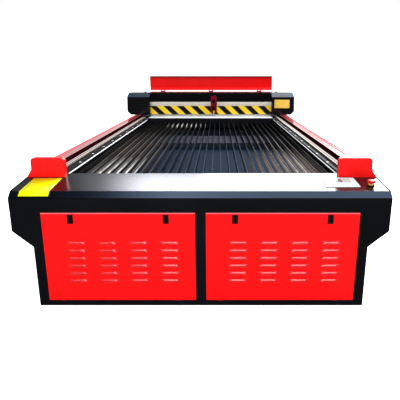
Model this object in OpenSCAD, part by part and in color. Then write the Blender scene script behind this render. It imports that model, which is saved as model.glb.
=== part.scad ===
// Flatbed carbon dioxide laser cutter with a moving gantry that carries the laser tube.
// Millimetres, +Z up, front towards -Y. Inside the modules a place along Y is
// the distance behind the front face of the body.

/* [Body] */
// Length of the body from its front face to its rear face
body_l = 3440; // [2800:10:4200]
// Width of the lower body
base_w = 1700; // [1400:10:2100]
// How far each side wing stands out past the lower body
wing_out = 101; // [80:1:130]
// Height of the levelling feet
foot_h = 8; // [6:1:20]
// Height of the upright lower wall
lower_h = 334; // [280:1:420]
// Rise of the slanted underside of the wing
wing_rise = 86; // [60:1:110]
// Height of the upright band of the wing up to the front lip
wing_band = 175; // [150:1:220]
// Size of the 45 degree lip along the front of the console
lip = 28; // [18:1:36]
// Rise of the sloping console from the lip to the bed
deck_rise = 29; // [15:1:45]
// Thickness of the cladding sheet
sheet_t = 2; // [1.5:0.5:3]

/* [Bed] */
// Distance from the front face to the bed
bed_front = 260; // [240:5:320]
// Distance from the rear of the bed to the rear face
bed_rear_gap = 618; // [560:5:700]
// Number of slats
slat_count = 29; // [15:1:35]
// Height of a slat
slat_h = 45; // [30:1:55]
// Thickness of a slat at its foot
slat_t = 5; // [3:0.5:7]
// Width of the beam that carries the middle of the slats
cross_w = 390; // [200:10:450]
// Fall of the front tray towards the middle of the bed
tray_fall = 12; // [5:1:40]

/* [Doors] */
// Height of the fascia above the doors
fascia_h = 77; // [60:1:110]
// Height of the border below the doors
door_sill = 30; // [24:1:60]
// Width of the post between the doors
mullion_w = 54; // [50:1:90]
// Width of the border outside each door
door_border = 52; // [48:1:90]
// Gap between a door and its opening
door_gap = 2; // [1.5:0.5:4]
// Depth of the folded edge of a door
door_depth = 16; // [10:1:18]
// Louvres in a row
louvre_cols = 4; // [2:1:4]
// Louvres in a column
louvre_rows = 6; // [2:1:6]
// Distance between louvre columns
louvre_pitch_x = 158; // [130:1:170]
// Distance between louvre rows
louvre_pitch_z = 42; // [36:1:48]
// Width of a louvre
louvre_w = 96; // [60:1:110]

/* [Gantry] */
// Distance from the front of the parked gantry to the rear face
gantry_park = 376; // [370:2:420]
// Height of the box beam
beam_h = 164; // [140:2:190]
// Depth of the box beam
beam_d = 120; // [100:2:140]
// Height of the laser tube housing
housing_h = 111; // [104:1:130]
// Depth of the laser tube housing
housing_d = 266; // [250:2:280]
// Diameter of the laser tube
tube_dia = 80; // [60:1:84]
// Place of the laser head along the gantry
head_x = 37; // [-300:1:300]

/* [Motion] */
// Radius of the belt pulleys of the gantry drive
pulley_r = 22.7; // [18:0.1:23]
// Width of the gantry belts
belt_w = 38; // [25:1:40]
// Width of the linear rails of the gantry
rail_w = 20; // [15:1:22]
// Screws that hold each linear rail
rail_screw_count = 13; // [8:1:20]
// Running gap between pieces that slide on each other
slide_gap = 0.3; // [0.3:0.05:0.5]

/* [Hidden] */
$fn = 48;

// Levels of the body
knee_low_z = foot_h + lower_h;
knee_high_z = knee_low_z + wing_rise;
lip_z = knee_high_z + wing_band;
deck_z = lip_z + lip + deck_rise;
side_top_z = deck_z - 4;

// Half widths of the body
base_x = base_w / 2;
wing_x = base_x + wing_out;

// What stands out past the front and rear faces
door_proud = 2;
louvre_out = 6;
front_reach = door_proud + louvre_out;
spigot_l = 60;
front_y = front_reach - (front_reach + body_l + spigot_l) / 2;

// Sheets and tubes
plate_t = 3;
tube_wall = 3;
touch = 0.05;

// Steel frame
ring_h = 30;
ring_w = 60;
frame_x = base_x - 4;
leg_w = 44;
bar = 60;
frame_front = 24;
frame_rear = body_l - frame_front;
long_rail_top = deck_z - 120;
long_rail_w = 84;
leg_x = frame_x - leg_w;
plenum_z = 290;
plenum_h = 40;
plenum_mid = (bed_front + body_l - bed_rear_gap) / 2 + 225;
plenum_gap = 290;
leg_ds = [
    frame_front, plenum_mid - plenum_gap / 2 - bar - 700, plenum_mid - plenum_gap / 2 - bar / 2,
    plenum_mid + plenum_gap / 2 - bar / 2, frame_rear - bar - 716, frame_rear - bar
];

// Side tracks, from the rail beam outwards
beam_in_x = base_x - 84;
beam_split_x = base_x - 40;
beam_out_x = base_x + 16;
rail_top_z = deck_z - 4;
beam_top_z = deck_z - 20;
ledge_z = deck_z - 64;
rail_mid_x = beam_in_x + rail_w / 2 + 4.5;
track_start = bed_front + 4;
track_end = body_l - 24;
beam_end = track_end - 44;
channel_in_x = beam_split_x + 2;
channel_t = 2.5;
channel_top_z = deck_z - 10;
belt_t = 3;
belt_top_z = deck_z - 3;
belt_in_r = pulley_r + slide_gap;
pulley_z = belt_top_z - belt_t - belt_in_r;
belt_mid_x = (channel_in_x + beam_out_x) / 2;
idler_d = track_start + 28;
drive_d = body_l - 55;
axle_r = 5;
fit_gap = 0.05;
cover_in_x = beam_out_x + 1;
cover_top_z = deck_z + 24;
motor_size = 57;
cover_lip_z = pulley_z + motor_size / 2 + 2.5;
rail_start = track_start + 4;
rail_end = beam_end - 2;
screw_pitch = (rail_end - rail_start - 60) / (rail_screw_count - 1);
screw_head_r = 5;
screw_sink = 4;
motor_l = 72;

// Guards over the front ends of the tracks
guard_front = bed_front - 55;
guard_depth = 30;
guard_t = 3;
guard_in_x = wing_x - 210;
guard_top_x = wing_x - 29;
guard_top_z = deck_z + 100;
guard_knee_z = deck_z + 36;
guard_round = 20;

// Bed
bed_rear = body_l - bed_rear_gap;
slat_top_z = deck_z - 32;
slat_z = slat_top_z - slat_h;
slat_span = beam_in_x - 28;
slat_pitch = 2 * slat_span / (slat_count - 1);
slat_start = track_start + 2;
slat_end = bed_rear - 6;
comb_t = 4;
comb_notch = 14;
chute_top_z = long_rail_top - 4;
chute_low_z = plenum_z + plenum_h + 50;
tray_low_z = chute_top_z - tray_fall;
chute_t = 2;
cross_mid = (bed_front + bed_rear) / 2 + 254;

// Equipment behind the right door
shelf_z = foot_h + ring_h;
shelf_x0 = 60;
shelf_x1 = base_x - 70;

// Doors
door_w = (base_w - mullion_w - 2 * door_border) / 2 - 0.5;
door_z = foot_h + door_sill + door_gap;
door_top_z = lip_z - fascia_h;
door_h = door_top_z - door_z;
door_mid_x = (mullion_w + door_w) / 2;
latch_x = 239;
latch_w = 23;
latch_h = 42;
latch_z = door_top_z - 33;
paddle_pivot_z = latch_z + 12;
paddle_pivot_d = -1.2;
tongue_gap = 0.6;
louvre_top_z = door_top_z - 154;
louvre_shift = 16;
louvre_h = 20;
louvre_slot = 6;
hinge_d = -4;
hinge_z = door_z - 3.2;
hinge_r = 3.3;
hinge_pin_r = 1.6;
hinge_l = 25;
hinge_x = 300;

// Console
deck_slope = atan(deck_rise / (bed_front - lip));
panel_w = 175;
panel_d = 115;
panel_x = wing_x - 223;
panel_mid_d = 132;
estop_x = wing_x - 75;
estop_mid_d = 96;
estop_travel = 5;
estop_collar_h = 13;
estop_collar_r = 15;
estop_neck_r = 11;
estop_stem_r = 8;
estop_stem_low = -12;

// Rear connections
spigot_r = 75;
spigot_x = base_x - 430;
spigot_z = foot_h + 242;
inlet_x = base_x - 150;
inlet_z = foot_h + 172;

// Gantry
gantry_front = body_l - gantry_park;
gantry_face_t = 2;
beam_front = gantry_front + 20;
carriage_z = rail_top_z + 12;
carriage_t = 12;
beam_z = carriage_z + carriage_t;
beam_top = beam_z + beam_h;
beam_x = base_x;
beam_wall = 4;
stripe_z = deck_z + 25;
slot_h = 54;
stripe_top = beam_top - slot_h;
housing_x = base_x - 75;
housing_top = beam_top + housing_h;
tube_mid_d = gantry_front + 148;
tube_z = beam_top + 53;
cap_front = gantry_front - 64;
cap_in_x = housing_x - 13;
cap_out_x = wing_x + 94;
cap_z = carriage_z + carriage_t + 6;
cap_top = housing_top + 1;
cap_rear = gantry_front + 306;
cap_t = 3;
cap_screw_r = 13;
cap_screw_h = 9;
cap_screw_d = cap_front + 150;
cap_floor_x = beam_x + 3;
beam_line_d = cap_front + 26;
beam_hole_r = 12;
rail_x_w = 15;
rail_x_z = beam_top - 17;
x_pulley_r = 12;
x_pulley_x = beam_x - 35;
x_pulley_z = stripe_top - 32;
x_belt_t = 2;
x_belt_in_r = x_pulley_r + slide_gap;
x_belt_d = gantry_front + 6;
x_belt_w = 10;
stud_r = 4;
x_motor_size = 56;
tube_r = tube_dia / 2;
tube_l = 2 * housing_x - 110;
cradle_x = tube_l / 2 - 270;
cradle_w = 30;
mirror_x = beam_x + 50;
bench_t = 6;
plate_d0 = gantry_front + 16;
plate_d1 = gantry_front + 296;
block_l = 60;
block_w = 38;
block_in_x = rail_mid_x - block_w / 2;
clamp_gap = 0.4;

// Lid of the laser tube housing
lid_axis_d = gantry_front + 254;
lid_axis_z = housing_top + 7;
lid_x = housing_x + 25;
cap_screw_x = lid_x + 38;
lid_t = 2;
lid_path = [
    [lid_axis_d + 4, lid_axis_z + 12], [lid_axis_d + 23, lid_axis_z + 48],
    [lid_axis_d + 28, lid_axis_z + 191], [lid_axis_d + 4, lid_axis_z + 193],
    [lid_axis_d + 3.5, lid_axis_z + 180]
];
lid_hinge_x = housing_x - 141;
lid_pin_r = 2.5;
lid_barrel_r = 5;

// Laser head
head_plate_d = gantry_front - 18;
head_plate_t = 10;
head_w = 76;
mirror_w = 46;
mirror_z = tube_z - 22;
mirror_top = tube_z + 23;
nozzle_z = slat_top_z + 47;
lens_tube_r = 17;
lens_tube_z = nozzle_z + 60;
lens_tube_top = mirror_z - 6;
lens_bore_r = 13;
lens_ledge = 6;
clamp_z = lens_tube_z + 55;
head_mid_d = beam_line_d;

// ---- helpers ----

// A block between two places across, along and up
module slab(x0, x1, d0, d1, z0, z1) {
    translate([x0, d0, z0]) cube([x1 - x0, d1 - d0, z1 - z0]);
}

// Moves distances behind the front face to the row's own Y
module from_front() {
    translate([0, front_y, 0]) children();
}

module both_sides() {
    children();
    mirror([1, 0, 0]) children();
}

// Runs an outline of (across, up) along the body
module along_body(d0, d1) {
    translate([0, d1, 0]) rotate([90, 0, 0]) linear_extrude(d1 - d0) children();
}

// Runs an outline of (distance, up) across the body
module across_body(x0, x1) {
    translate([x0, 0, 0]) rotate([90, 0, 90]) linear_extrude(x1 - x0) children();
}

// A round bar across the body
module cross_pin(x0, x1, d, z, r) {
    translate([x0, d, z]) rotate([0, 90, 0]) cylinder(h = x1 - x0, r = r);
}

// A round bar along the body
module long_pin(x, d0, d1, z, r) {
    translate([x, d1, z]) rotate([90, 0, 0]) cylinder(h = d1 - d0, r = r);
}

function unit(v) = v / norm(v);
function left_normal(a, b) = let (u = unit(b - a)) [-u[1], u[0]];
function miter(a, b, c, t) =
    let (n1 = left_normal(a, b), n2 = left_normal(b, c), m = unit(n1 + n2)) b + m * t / (m * n1);
function offset_path(p, t) = [
    for (i = [0 : len(p) - 1])
        i == 0 ? p[0] + left_normal(p[0], p[1]) * t
        : i == len(p) - 1 ? p[i] + left_normal(p[i - 1], p[i]) * t
        : miter(p[i - 1], p[i], p[i + 1], t)
];
function reversed(p) = [for (i = [len(p) - 1 : -1 : 0]) p[i]];

// Section of a folded sheet: the path and its copy, t to the left of it
module folded_sheet(path, t) {
    polygon(concat(path, reversed(offset_path(path, t))));
}

function arc_points(c, r, a0, a1, steps) = [
    for (i = [0 : steps]) let (a = a0 + (a1 - a0) * i / steps) c + r * [cos(a), sin(a)]
];

// ---- fixed structure ----

// One hollow bar of the welded frame, open at both ends, a hair short of what it meets
module frame_bar(x0, x1, d0, d1, z0, z1, run) {
    gx = run == "x" ? -1 : tube_wall;
    gd = run == "y" ? -1 : tube_wall;
    gz = run == "z" ? -1 : tube_wall;
    ex = run == "x" ? touch : 0;
    ed = run == "y" ? touch : 0;
    ez = run == "z" ? touch : 0;
    difference() {
        slab(x0 + ex, x1 - ex, d0 + ed, d1 - ed, z0 + ez, z1 - ez);
        slab(x0 + gx, x1 - gx, d0 + gd, d1 - gd, z0 + gz, z1 - gz);
    }
}

module base_frame() color("#1a1d24") from_front() {
    ring_z = foot_h + ring_h;
    ring_in = frame_x - ring_w;
    rail_in = frame_x - long_rail_w;
    both_sides() {
        frame_bar(ring_in, frame_x, frame_front, frame_rear, foot_h, ring_z, "y");
        frame_bar(rail_in, frame_x, frame_front, frame_rear, long_rail_top - bar,
            long_rail_top, "y");
        for (d = leg_ds) {
            frame_bar(leg_x, frame_x, d, d + bar, ring_z, long_rail_top - bar, "z");
            frame_bar(frame_x, wing_x - sheet_t, d + 10, d + 50, long_rail_top - 100,
                long_rail_top - bar, "x");
        }
    }
    for (d = leg_ds) {
        frame_bar(-ring_in, ring_in, d, d + bar, foot_h, ring_z, "x");
    }
    for (d = [frame_front, frame_rear - bar]) {
        frame_bar(-rail_in, rail_in, d, d + bar, long_rail_top - bar, long_rail_top, "x");
    }
    for (d = [leg_ds[2], leg_ds[3]]) {
        frame_bar(-leg_x, leg_x, d, d + bar, plenum_z, plenum_z + plenum_h, "x");
    }
    frame_bar(-25, 25, frame_front, frame_front + 50, ring_z, long_rail_top - bar, "z");
}

module levelling_feet() color("#222222") from_front() both_sides() {
    for (d = leg_ds) translate([frame_x - ring_w / 2, d + bar / 2, 0]) {
        cylinder(h = foot_h / 2, r = 30);
        translate([0, 0, foot_h / 2]) cylinder(h = foot_h / 2, r = 18);
    }
}

function body_half(top_z) = [
    [base_x, foot_h], [base_x, knee_low_z], [wing_x, knee_high_z], [wing_x, top_z]
];
function mirrored(p) = [for (i = [len(p) - 1 : -1 : 0]) [-p[i][0], p[i][1]]];

module body_outline(top_z) {
    polygon(concat(body_half(top_z), mirrored(body_half(top_z))));
}

module front_panel() color("#0f121b") from_front() along_body(0, plate_t) difference() {
    body_outline(lip_z - plate_t * sin(45));
    for (side = [-1, 1]) {
        translate([side * door_mid_x - door_w / 2 - door_gap, door_z - door_gap])
            square([door_w + 2 * door_gap, door_h + 2 * door_gap]);
    }
}

// Line of the console from the front lip to the bed
deck_path = [[0, lip_z], [lip, lip_z + lip], [bed_front, deck_z], [bed_front, deck_z - 100]];

// Everything above the underside of the console, less a hair of play
module above_console() {
    across_body(-wing_x - 10, wing_x + 10) polygon(concat(
        offset_path([for (i = [0 : 2]) deck_path[i]], -plate_t - 0.5),
        [[bed_front, deck_z + 90], [-20, deck_z + 90], [-20, lip_z - plate_t - 0.5]]
    ));
}

module side_panels() color("#14171f") from_front() both_sides() difference() {
    along_body(plate_t, body_l - plate_t) folded_sheet(body_half(side_top_z), sheet_t);
    above_console();
}

module rear_panel() color("#14171f") from_front() difference() {
    along_body(body_l - plate_t, body_l) body_outline(side_top_z);
    for (side = [-1, 1]) {
        long_pin(side * spigot_x, body_l - 20, body_l + 20, spigot_z, spigot_r);
    }
    slab(inlet_x - 20, inlet_x + 20, body_l - 20, body_l + 20, inlet_z - 24, inlet_z + 24);
}

// A place on the sloping console, with Z along its normal
module on_console(x, d) {
    z = lip_z + lip + (d - lip) * tan(deck_slope);
    translate([x, d, z]) rotate([deck_slope, 0, 0]) children();
}

module console_deck() color("#10131a") from_front() difference() {
    across_body(-wing_x, wing_x) folded_sheet(deck_path, -plate_t);
    both_sides() slab(wing_x - sheet_t - touch, wing_x + 1, bed_front - plate_t - 1,
        bed_front + 1, deck_z - 101, deck_z - plate_t - 0.5);
    on_console(panel_x, panel_mid_d) cube([panel_w - 20, panel_d - 20, 30], center = true);
    on_console(estop_x, estop_mid_d) cylinder(h = 40, r = estop_neck_r + 0.2, center = true);
}

module rear_deck() color("#e8ebee") from_front()
    across_body(-block_in_x + 2, block_in_x - 2) folded_sheet([
        [bed_rear, deck_z - 80], [bed_rear, deck_z], [body_l - plate_t, deck_z],
        [body_l - plate_t, deck_z - 40]
    ], -plate_t);

module rail_beams() color("#15181f") from_front() both_sides() along_body(track_start, beam_end)
    difference() {
        polygon([
            [beam_in_x, long_rail_top], [beam_out_x, long_rail_top], [beam_out_x, ledge_z],
            [beam_split_x, ledge_z], [beam_split_x, beam_top_z], [beam_in_x, beam_top_z]
        ]);
        polygon([
            [beam_in_x + 4, long_rail_top + 4], [beam_out_x - 4, long_rail_top + 4],
            [beam_out_x - 4, ledge_z - 4], [beam_split_x - 4, ledge_z - 4],
            [beam_split_x - 4, beam_top_z - 4], [beam_in_x + 4, beam_top_z - 4]
        ]);
    }

module at_rail_screws() {
    for (i = [0 : rail_screw_count - 1]) {
        translate([rail_mid_x, rail_start + 30 + i * screw_pitch, rail_top_z]) children();
    }
}

module y_rails() color("#3a3d42") from_front() both_sides() difference() {
    along_body(rail_start, rail_end) translate([rail_mid_x, 0]) polygon([
        [-rail_w / 2, beam_top_z], [rail_w / 2, beam_top_z], [rail_w / 2, beam_top_z + 5],
        [rail_w / 2 - 2.5, beam_top_z + 8], [rail_w / 2, beam_top_z + 11],
        [rail_w / 2, rail_top_z], [-rail_w / 2, rail_top_z], [-rail_w / 2, beam_top_z + 11],
        [-rail_w / 2 + 2.5, beam_top_z + 8], [-rail_w / 2, beam_top_z + 5]
    ]);
    at_rail_screws() translate([0, 0, -screw_sink]) cylinder(h = screw_sink * 2, r = screw_head_r + 0.3);
}

module rail_screws() color("#d5d8dc") from_front() both_sides()
    at_rail_screws() translate([0, 0, -screw_sink]) difference() {
        cylinder(h = screw_sink - 0.4, r = screw_head_r);
        translate([0, 0, 1.2]) cylinder(h = screw_sink, r = 2.5, $fn = 6);
    }

module belt_channels() color("#b9bdc2") from_front() both_sides() difference() {
    union() {
        difference() {
            slab(channel_in_x, beam_out_x, track_start, track_end, ledge_z, channel_top_z);
            slab(channel_in_x + channel_t, beam_out_x - channel_t, track_start - 1, track_end + 1,
                ledge_z + plate_t, channel_top_z + 1);
        }
        cross_pin(channel_in_x + 1, beam_out_x - 1, idler_d, pulley_z, axle_r);
    }
    cross_pin(beam_out_x - 5, beam_out_x + 1, drive_d, pulley_z, axle_r + 3);
}

// A closed belt between two axles, seen from the side
module belt_loop(u0, u1, v, r_in, t) {
    difference() {
        union() {
            translate([u0, v - r_in - t]) square([u1 - u0, 2 * (r_in + t)]);
            translate([u0, v]) circle(r = r_in + t);
            translate([u1, v]) circle(r = r_in + t);
        }
        translate([u0, v - r_in]) square([u1 - u0, 2 * r_in]);
        translate([u0, v]) circle(r = r_in);
        translate([u1, v]) circle(r = r_in);
    }
}

module y_belts() color("#d9cfb8") from_front() both_sides()
    across_body(belt_mid_x - belt_w / 2, belt_mid_x + belt_w / 2)
        belt_loop(idler_d, drive_d, pulley_z, belt_in_r, belt_t);

module y_motors() color("#23262c") from_front() both_sides() difference() {
    slab(beam_out_x, beam_out_x + motor_l, drive_d - motor_size / 2, drive_d + motor_size / 2 - 4,
        pulley_z - motor_size / 2, pulley_z + motor_size / 2);
    cross_pin(beam_out_x - 1, beam_out_x + 30, drive_d, pulley_z, axle_r + fit_gap);
}

module side_cover() color("#e01b1f") from_front()
    along_body(bed_front + 2, body_l - plate_t) folded_sheet([
        [wing_x, side_top_z], [wing_x, cover_top_z], [cover_in_x, cover_top_z],
        [cover_in_x, cover_lip_z]
    ], sheet_t);
module side_cover_r() side_cover();
module side_cover_l() mirror([1, 0, 0]) side_cover();

// Everything below the top of the console
module below_console() {
    across_body(wing_x - 260, wing_x + 10) polygon([
        [lip, lip_z], [bed_front + 20, lip_z],
        [bed_front + 20, deck_z + 20 * tan(deck_slope) + touch], [lip, lip_z + lip + touch]
    ]);
}

module guard_face(g) {
    r = guard_round - g;
    polygon(concat(
        [[guard_in_x + g, lip_z], [wing_x - 2 - g, lip_z], [wing_x - 2 - g, deck_z - 6]],
        [[guard_top_x - g, guard_knee_z]],
        arc_points([guard_top_x - guard_round, guard_top_z - guard_round], r, 0, 90, 8),
        arc_points([guard_in_x + guard_round, guard_top_z - guard_round], r, 90, 180, 8)
    ));
}
module end_guard() color("#fa1c1c") from_front() difference() {
    along_body(guard_front, guard_front + guard_depth) guard_face(0);
    along_body(guard_front + guard_t, guard_front + guard_depth + 1) guard_face(guard_t);
    below_console();
}
module end_guard_r() end_guard();
module end_guard_l() mirror([1, 0, 0]) end_guard();

// ---- bed ----

module blade_slats() color("#9aa0a8") from_front()
    for (i = [0 : slat_count - 1]) {
        x = -slat_span + i * slat_pitch;
        along_body(slat_start, slat_end) polygon([
            [x - slat_t / 2, slat_z], [x + slat_t / 2, slat_z], [x + 0.8, slat_top_z],
            [x - 0.8, slat_top_z]
        ]);
    }

module slat_comb() difference() {
    union() {
        slab(-beam_in_x, beam_in_x, 0, comb_t, slat_z - 28, slat_z + comb_notch);
        slab(-beam_in_x, beam_in_x, 0, 32, slat_z - 28, slat_z - 25);
    }
    for (i = [0 : slat_count - 1]) {
        x = -slat_span + i * slat_pitch;
        slab(x - slat_t / 2 - 0.3, x + slat_t / 2 + 0.3, -1, comb_t + 1, slat_z, slat_top_z);
    }
}
module slat_combs() color("#30343c") from_front() {
    translate([0, slat_start + 6, 0]) slat_comb();
    translate([0, slat_end - 6, 0]) mirror([0, 1, 0]) slat_comb();
}

module cross_support() color("#5a5c69") from_front()
    across_body(-beam_in_x, beam_in_x) folded_sheet([
        [cross_mid - cross_w / 2, slat_z - 34], [cross_mid - cross_w / 2, slat_z],
        [cross_mid + cross_w / 2, slat_z], [cross_mid + cross_w / 2, slat_z - 34]
    ], -plate_t);

module chute_front() color("#4a5970") from_front()
    across_body(-frame_x + long_rail_w, frame_x - long_rail_w) folded_sheet([
        [track_start + 6, chute_top_z], [leg_ds[2] + 20, tray_low_z],
        [leg_ds[2] + 20, plenum_z + plenum_h]
    ], -chute_t);

module chute_rear() color("#111318") from_front()
    across_body(-frame_x + long_rail_w, frame_x - long_rail_w) folded_sheet([
        [bed_rear - 10, chute_top_z], [leg_ds[3] + 40, chute_low_z],
        [leg_ds[3] + 40, plenum_z + plenum_h]
    ], chute_t);

// ---- equipment behind the right door ----

module equipment_shelf() color("#c9ccd0") from_front()
    slab(shelf_x0, shelf_x1, frame_front + 40, leg_ds[1] + 50, shelf_z, shelf_z + sheet_t);

module laser_supply() color("#d6d8da") from_front() difference() {
    slab(shelf_x0 + 40, shelf_x0 + 240, 160, 580, shelf_z + sheet_t, shelf_z + 162);
    for (i = [0 : 4]) {
        slab(shelf_x0 + 70, shelf_x0 + 210, 150, 163, shelf_z + 40 + i * 18, shelf_z + 48 + i * 18);
    }
}

module controller_box() color("#7d8288") from_front() difference() {
    slab(shelf_x0 + 300, shelf_x0 + 600, 160, 420, shelf_z + sheet_t, shelf_z + 122);
    for (i = [0 : 5]) {
        slab(shelf_x0 + 330 + i * 42, shelf_x0 + 354 + i * 42, 150, 166, shelf_z + 30, shelf_z + 48);
    }
}

// ---- console controls ----

module control_panel() color("#eef0ee") from_front() on_console(panel_x, panel_mid_d) {
    translate([-panel_w / 2, -panel_d / 2, 0]) cube([panel_w, panel_d, 4]);
    translate([-panel_w / 2 + 12, -panel_d / 2 + 12, -28]) cube([panel_w - 24, panel_d - 24, 28]);
}

module estop_base() color("#f2b21a") from_front() on_console(estop_x, estop_mid_d) difference() {
    union() {
        cylinder(h = 3, r = 30);
        cylinder(h = estop_collar_h, r = estop_collar_r);
        translate([0, 0, -16]) cylinder(h = 16, r = estop_neck_r);
        translate([-15, -15, -46]) cube([30, 30, 30]);
    }
    translate([0, 0, estop_stem_low - estop_travel - 3]) cylinder(h = 60, r = estop_stem_r + fit_gap);
}

module estop_button() color("#e0161a") from_front() on_console(estop_x, estop_mid_d) {
    head_z = estop_collar_h + estop_travel + 1;
    translate([0, 0, estop_stem_low]) cylinder(h = head_z + 3 - estop_stem_low, r = estop_stem_r);
    translate([0, 0, head_z]) cylinder(h = 7, r = 20);
    translate([0, 0, head_z + 7]) cylinder(h = 4, r1 = 20, r2 = 15);
}

// ---- rear connections ----

module duct_spigots() color("#c3c7cc") from_front()
    for (side = [-1, 1]) difference() {
        union() {
            long_pin(side * spigot_x, body_l - plate_t, body_l + spigot_l, spigot_z, spigot_r);
            long_pin(side * spigot_x, body_l, body_l + 3, spigot_z, spigot_r + 20);
        }
        long_pin(side * spigot_x, body_l - 20, body_l + spigot_l + 1, spigot_z, spigot_r - 2);
    }

module mains_inlet() color("#1c1e22") from_front() difference() {
    union() {
        slab(inlet_x - 25, inlet_x + 25, body_l, body_l + 6, inlet_z - 30, inlet_z + 30);
        slab(inlet_x - 19, inlet_x + 19, body_l - 24, body_l, inlet_z - 23, inlet_z + 23);
    }
    slab(inlet_x - 14, inlet_x + 14, body_l - 12, body_l + 7, inlet_z - 10, inlet_z + 10);
}

// ---- doors ----

// Fixed half of each weld-on hinge, with its pin
module door_hinges() color("#15171c") from_front()
    for (side = [-1, 1]) for (x = [-hinge_x, hinge_x]) {
        x0 = side * door_mid_x + x;
        cross_pin(x0, x0 + hinge_l, hinge_d, hinge_z, hinge_r);
        cross_pin(x0 - hinge_l + 2, x0 + 1, hinge_d, hinge_z, hinge_pin_r);
        slab(x0, x0 + hinge_l, -1.6, 0, hinge_z - 18, hinge_z + 0.5);
    }

// Hood of one louvre, open along its lower edge
module louvre_hood(x, z) {
    across_body(x - louvre_w / 2, x + louvre_w / 2) polygon([
        [-door_proud, z], [-door_proud - louvre_out, z - louvre_h + louvre_slot],
        [-door_proud - louvre_out, z - louvre_h + 2], [-door_proud, z - louvre_h + 2]
    ]);
}
module louvre_void(x, z) {
    across_body(x - louvre_w / 2 + 1.5, x + louvre_w / 2 - 1.5) polygon([
        [1, z - 2], [-door_proud, z - 2.5], [-door_proud - louvre_out + 1.5, z - louvre_h + 6],
        [-door_proud - louvre_out + 1.5, z - louvre_h], [1, z - louvre_h]
    ]);
}
module at_louvres() {
    for (c = [0 : louvre_cols - 1]) for (r = [0 : louvre_rows - 1]) {
        x = louvre_shift + (c - (louvre_cols - 1) / 2) * louvre_pitch_x;
        z = louvre_top_z - r * louvre_pitch_z;
        translate([x, 0, z]) children();
    }
}

module door() color("#fe1a1a") from_front() difference() {
    union() {
        difference() {
            slab(-door_w / 2, door_w / 2, -door_proud, door_depth, door_z, door_top_z);
            slab(-door_w / 2 + 1.5, door_w / 2 - 1.5, -door_proud + 1.5, door_depth + 1,
                door_z + 1.5, door_top_z - 1.5);
        }
        at_louvres() louvre_hood(0, 0);
        for (x = [-hinge_x, hinge_x]) {
            cross_pin(x - hinge_l - 0.4, x - 0.4, hinge_d, hinge_z, hinge_r);
            slab(x - hinge_l - 0.4, x - 0.4, -door_proud - 1.6, -door_proud, hinge_z,
                hinge_z + 24);
        }
    }
    at_louvres() louvre_void(0, 0);
    for (x = [-hinge_x, hinge_x]) {
        cross_pin(x - hinge_l - 1, x, hinge_d, hinge_z, hinge_pin_r + fit_gap);
    }
    for (x = [-latch_x, latch_x]) {
        slab(x - latch_w / 2, x + latch_w / 2, -door_proud - 1, 1, latch_z - latch_h / 2,
            latch_z + latch_h / 2);
        slab(x - 8, x + 8, 3, door_depth + 1, door_top_z - 3, door_top_z + 1);
    }
}
module door_l() translate([-door_mid_x, 0, 0]) door();
module door_r() translate([door_mid_x, 0, 0]) door();

// Paddle, pivot and tongue of one latch
module latch_paddle(x) color("#0c0d10") from_front() translate([x, 0, 0]) {
    slab(-10, 10, -7, -3, latch_z - 19, latch_z + 19);
    cross_pin(-latch_w / 2 + 0.4, latch_w / 2 - 0.4, paddle_pivot_d, paddle_pivot_z, 1.8);
    slab(-6, 6, -4, 9, paddle_pivot_z - 3, paddle_pivot_z + 3);
    slab(-6, 6, 5, 9, paddle_pivot_z - 3, door_top_z + door_gap - tongue_gap);
}
module latch_paddle_l1() latch_paddle(-door_mid_x - latch_x);
module latch_paddle_l2() latch_paddle(-door_mid_x + latch_x);
module latch_paddle_r1() latch_paddle(door_mid_x - latch_x);
module latch_paddle_r2() latch_paddle(door_mid_x + latch_x);

// ---- gantry drive ----

module belt_pulley(journal_l) {
    difference() {
        union() {
            cross_pin(-belt_w / 2, belt_w / 2, 0, 0, pulley_r);
            cross_pin(-belt_w / 2 - 2.5, -belt_w / 2 - 0.3, 0, 0, pulley_r + 2);
            cross_pin(belt_w / 2 + 0.3, belt_w / 2 + 2.5, 0, 0, pulley_r + 2);
            cross_pin(-belt_w / 2 - 2.5, belt_w / 2 + 2.5, 0, 0, pulley_r - 4);
            cross_pin(0, belt_w / 2 + 2.5 + journal_l, 0, 0, journal_l > 0 ? axle_r : 1);
        }
        if (journal_l == 0) {
            cross_pin(-belt_w, belt_w, 0, 0, axle_r + fit_gap);
        }
    }
}
module idler_pulley() color("#8d9299") from_front()
    translate([belt_mid_x, idler_d, pulley_z]) belt_pulley(0);
module drive_pulley() color("#8d9299") from_front()
    translate([belt_mid_x, drive_d, pulley_z]) belt_pulley(24);
module idler_pulley_r() idler_pulley();
module idler_pulley_l() mirror([1, 0, 0]) idler_pulley();
module drive_pulley_r() drive_pulley();
module drive_pulley_l() mirror([1, 0, 0]) drive_pulley();

// ---- gantry ----

module gantry_beam() color("#cdd1d6") from_front() {
    difference() {
        slab(-beam_x, beam_x, beam_front, beam_front + beam_d, beam_z, beam_top);
        slab(-beam_x - 1, beam_x + 1, beam_front + beam_wall, beam_front + beam_d - beam_wall,
            beam_z + beam_wall, beam_top - beam_wall);
    }
    long_pin(-x_pulley_x, beam_front - 18, beam_front + 1, x_pulley_z, stud_r);
}

module stripe_panel() color("#f2da2f") from_front() {
    slab(-housing_x, housing_x, gantry_front, gantry_front + gantry_face_t, stripe_z, stripe_top);
    both_sides() {
        slab(housing_x - 2, housing_x, gantry_front + 1, beam_front, stripe_top - 10, stripe_top);
        slab(housing_x - 2, housing_x, gantry_front + 1, beam_front, beam_z, x_pulley_z - 25);
    }
}

module x_rail() color("#8e9399") from_front()
    slab(-housing_x + 5, housing_x - 5, beam_front - rail_x_w, beam_front,
        rail_x_z - rail_x_w / 2, rail_x_z + rail_x_w / 2);

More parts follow.
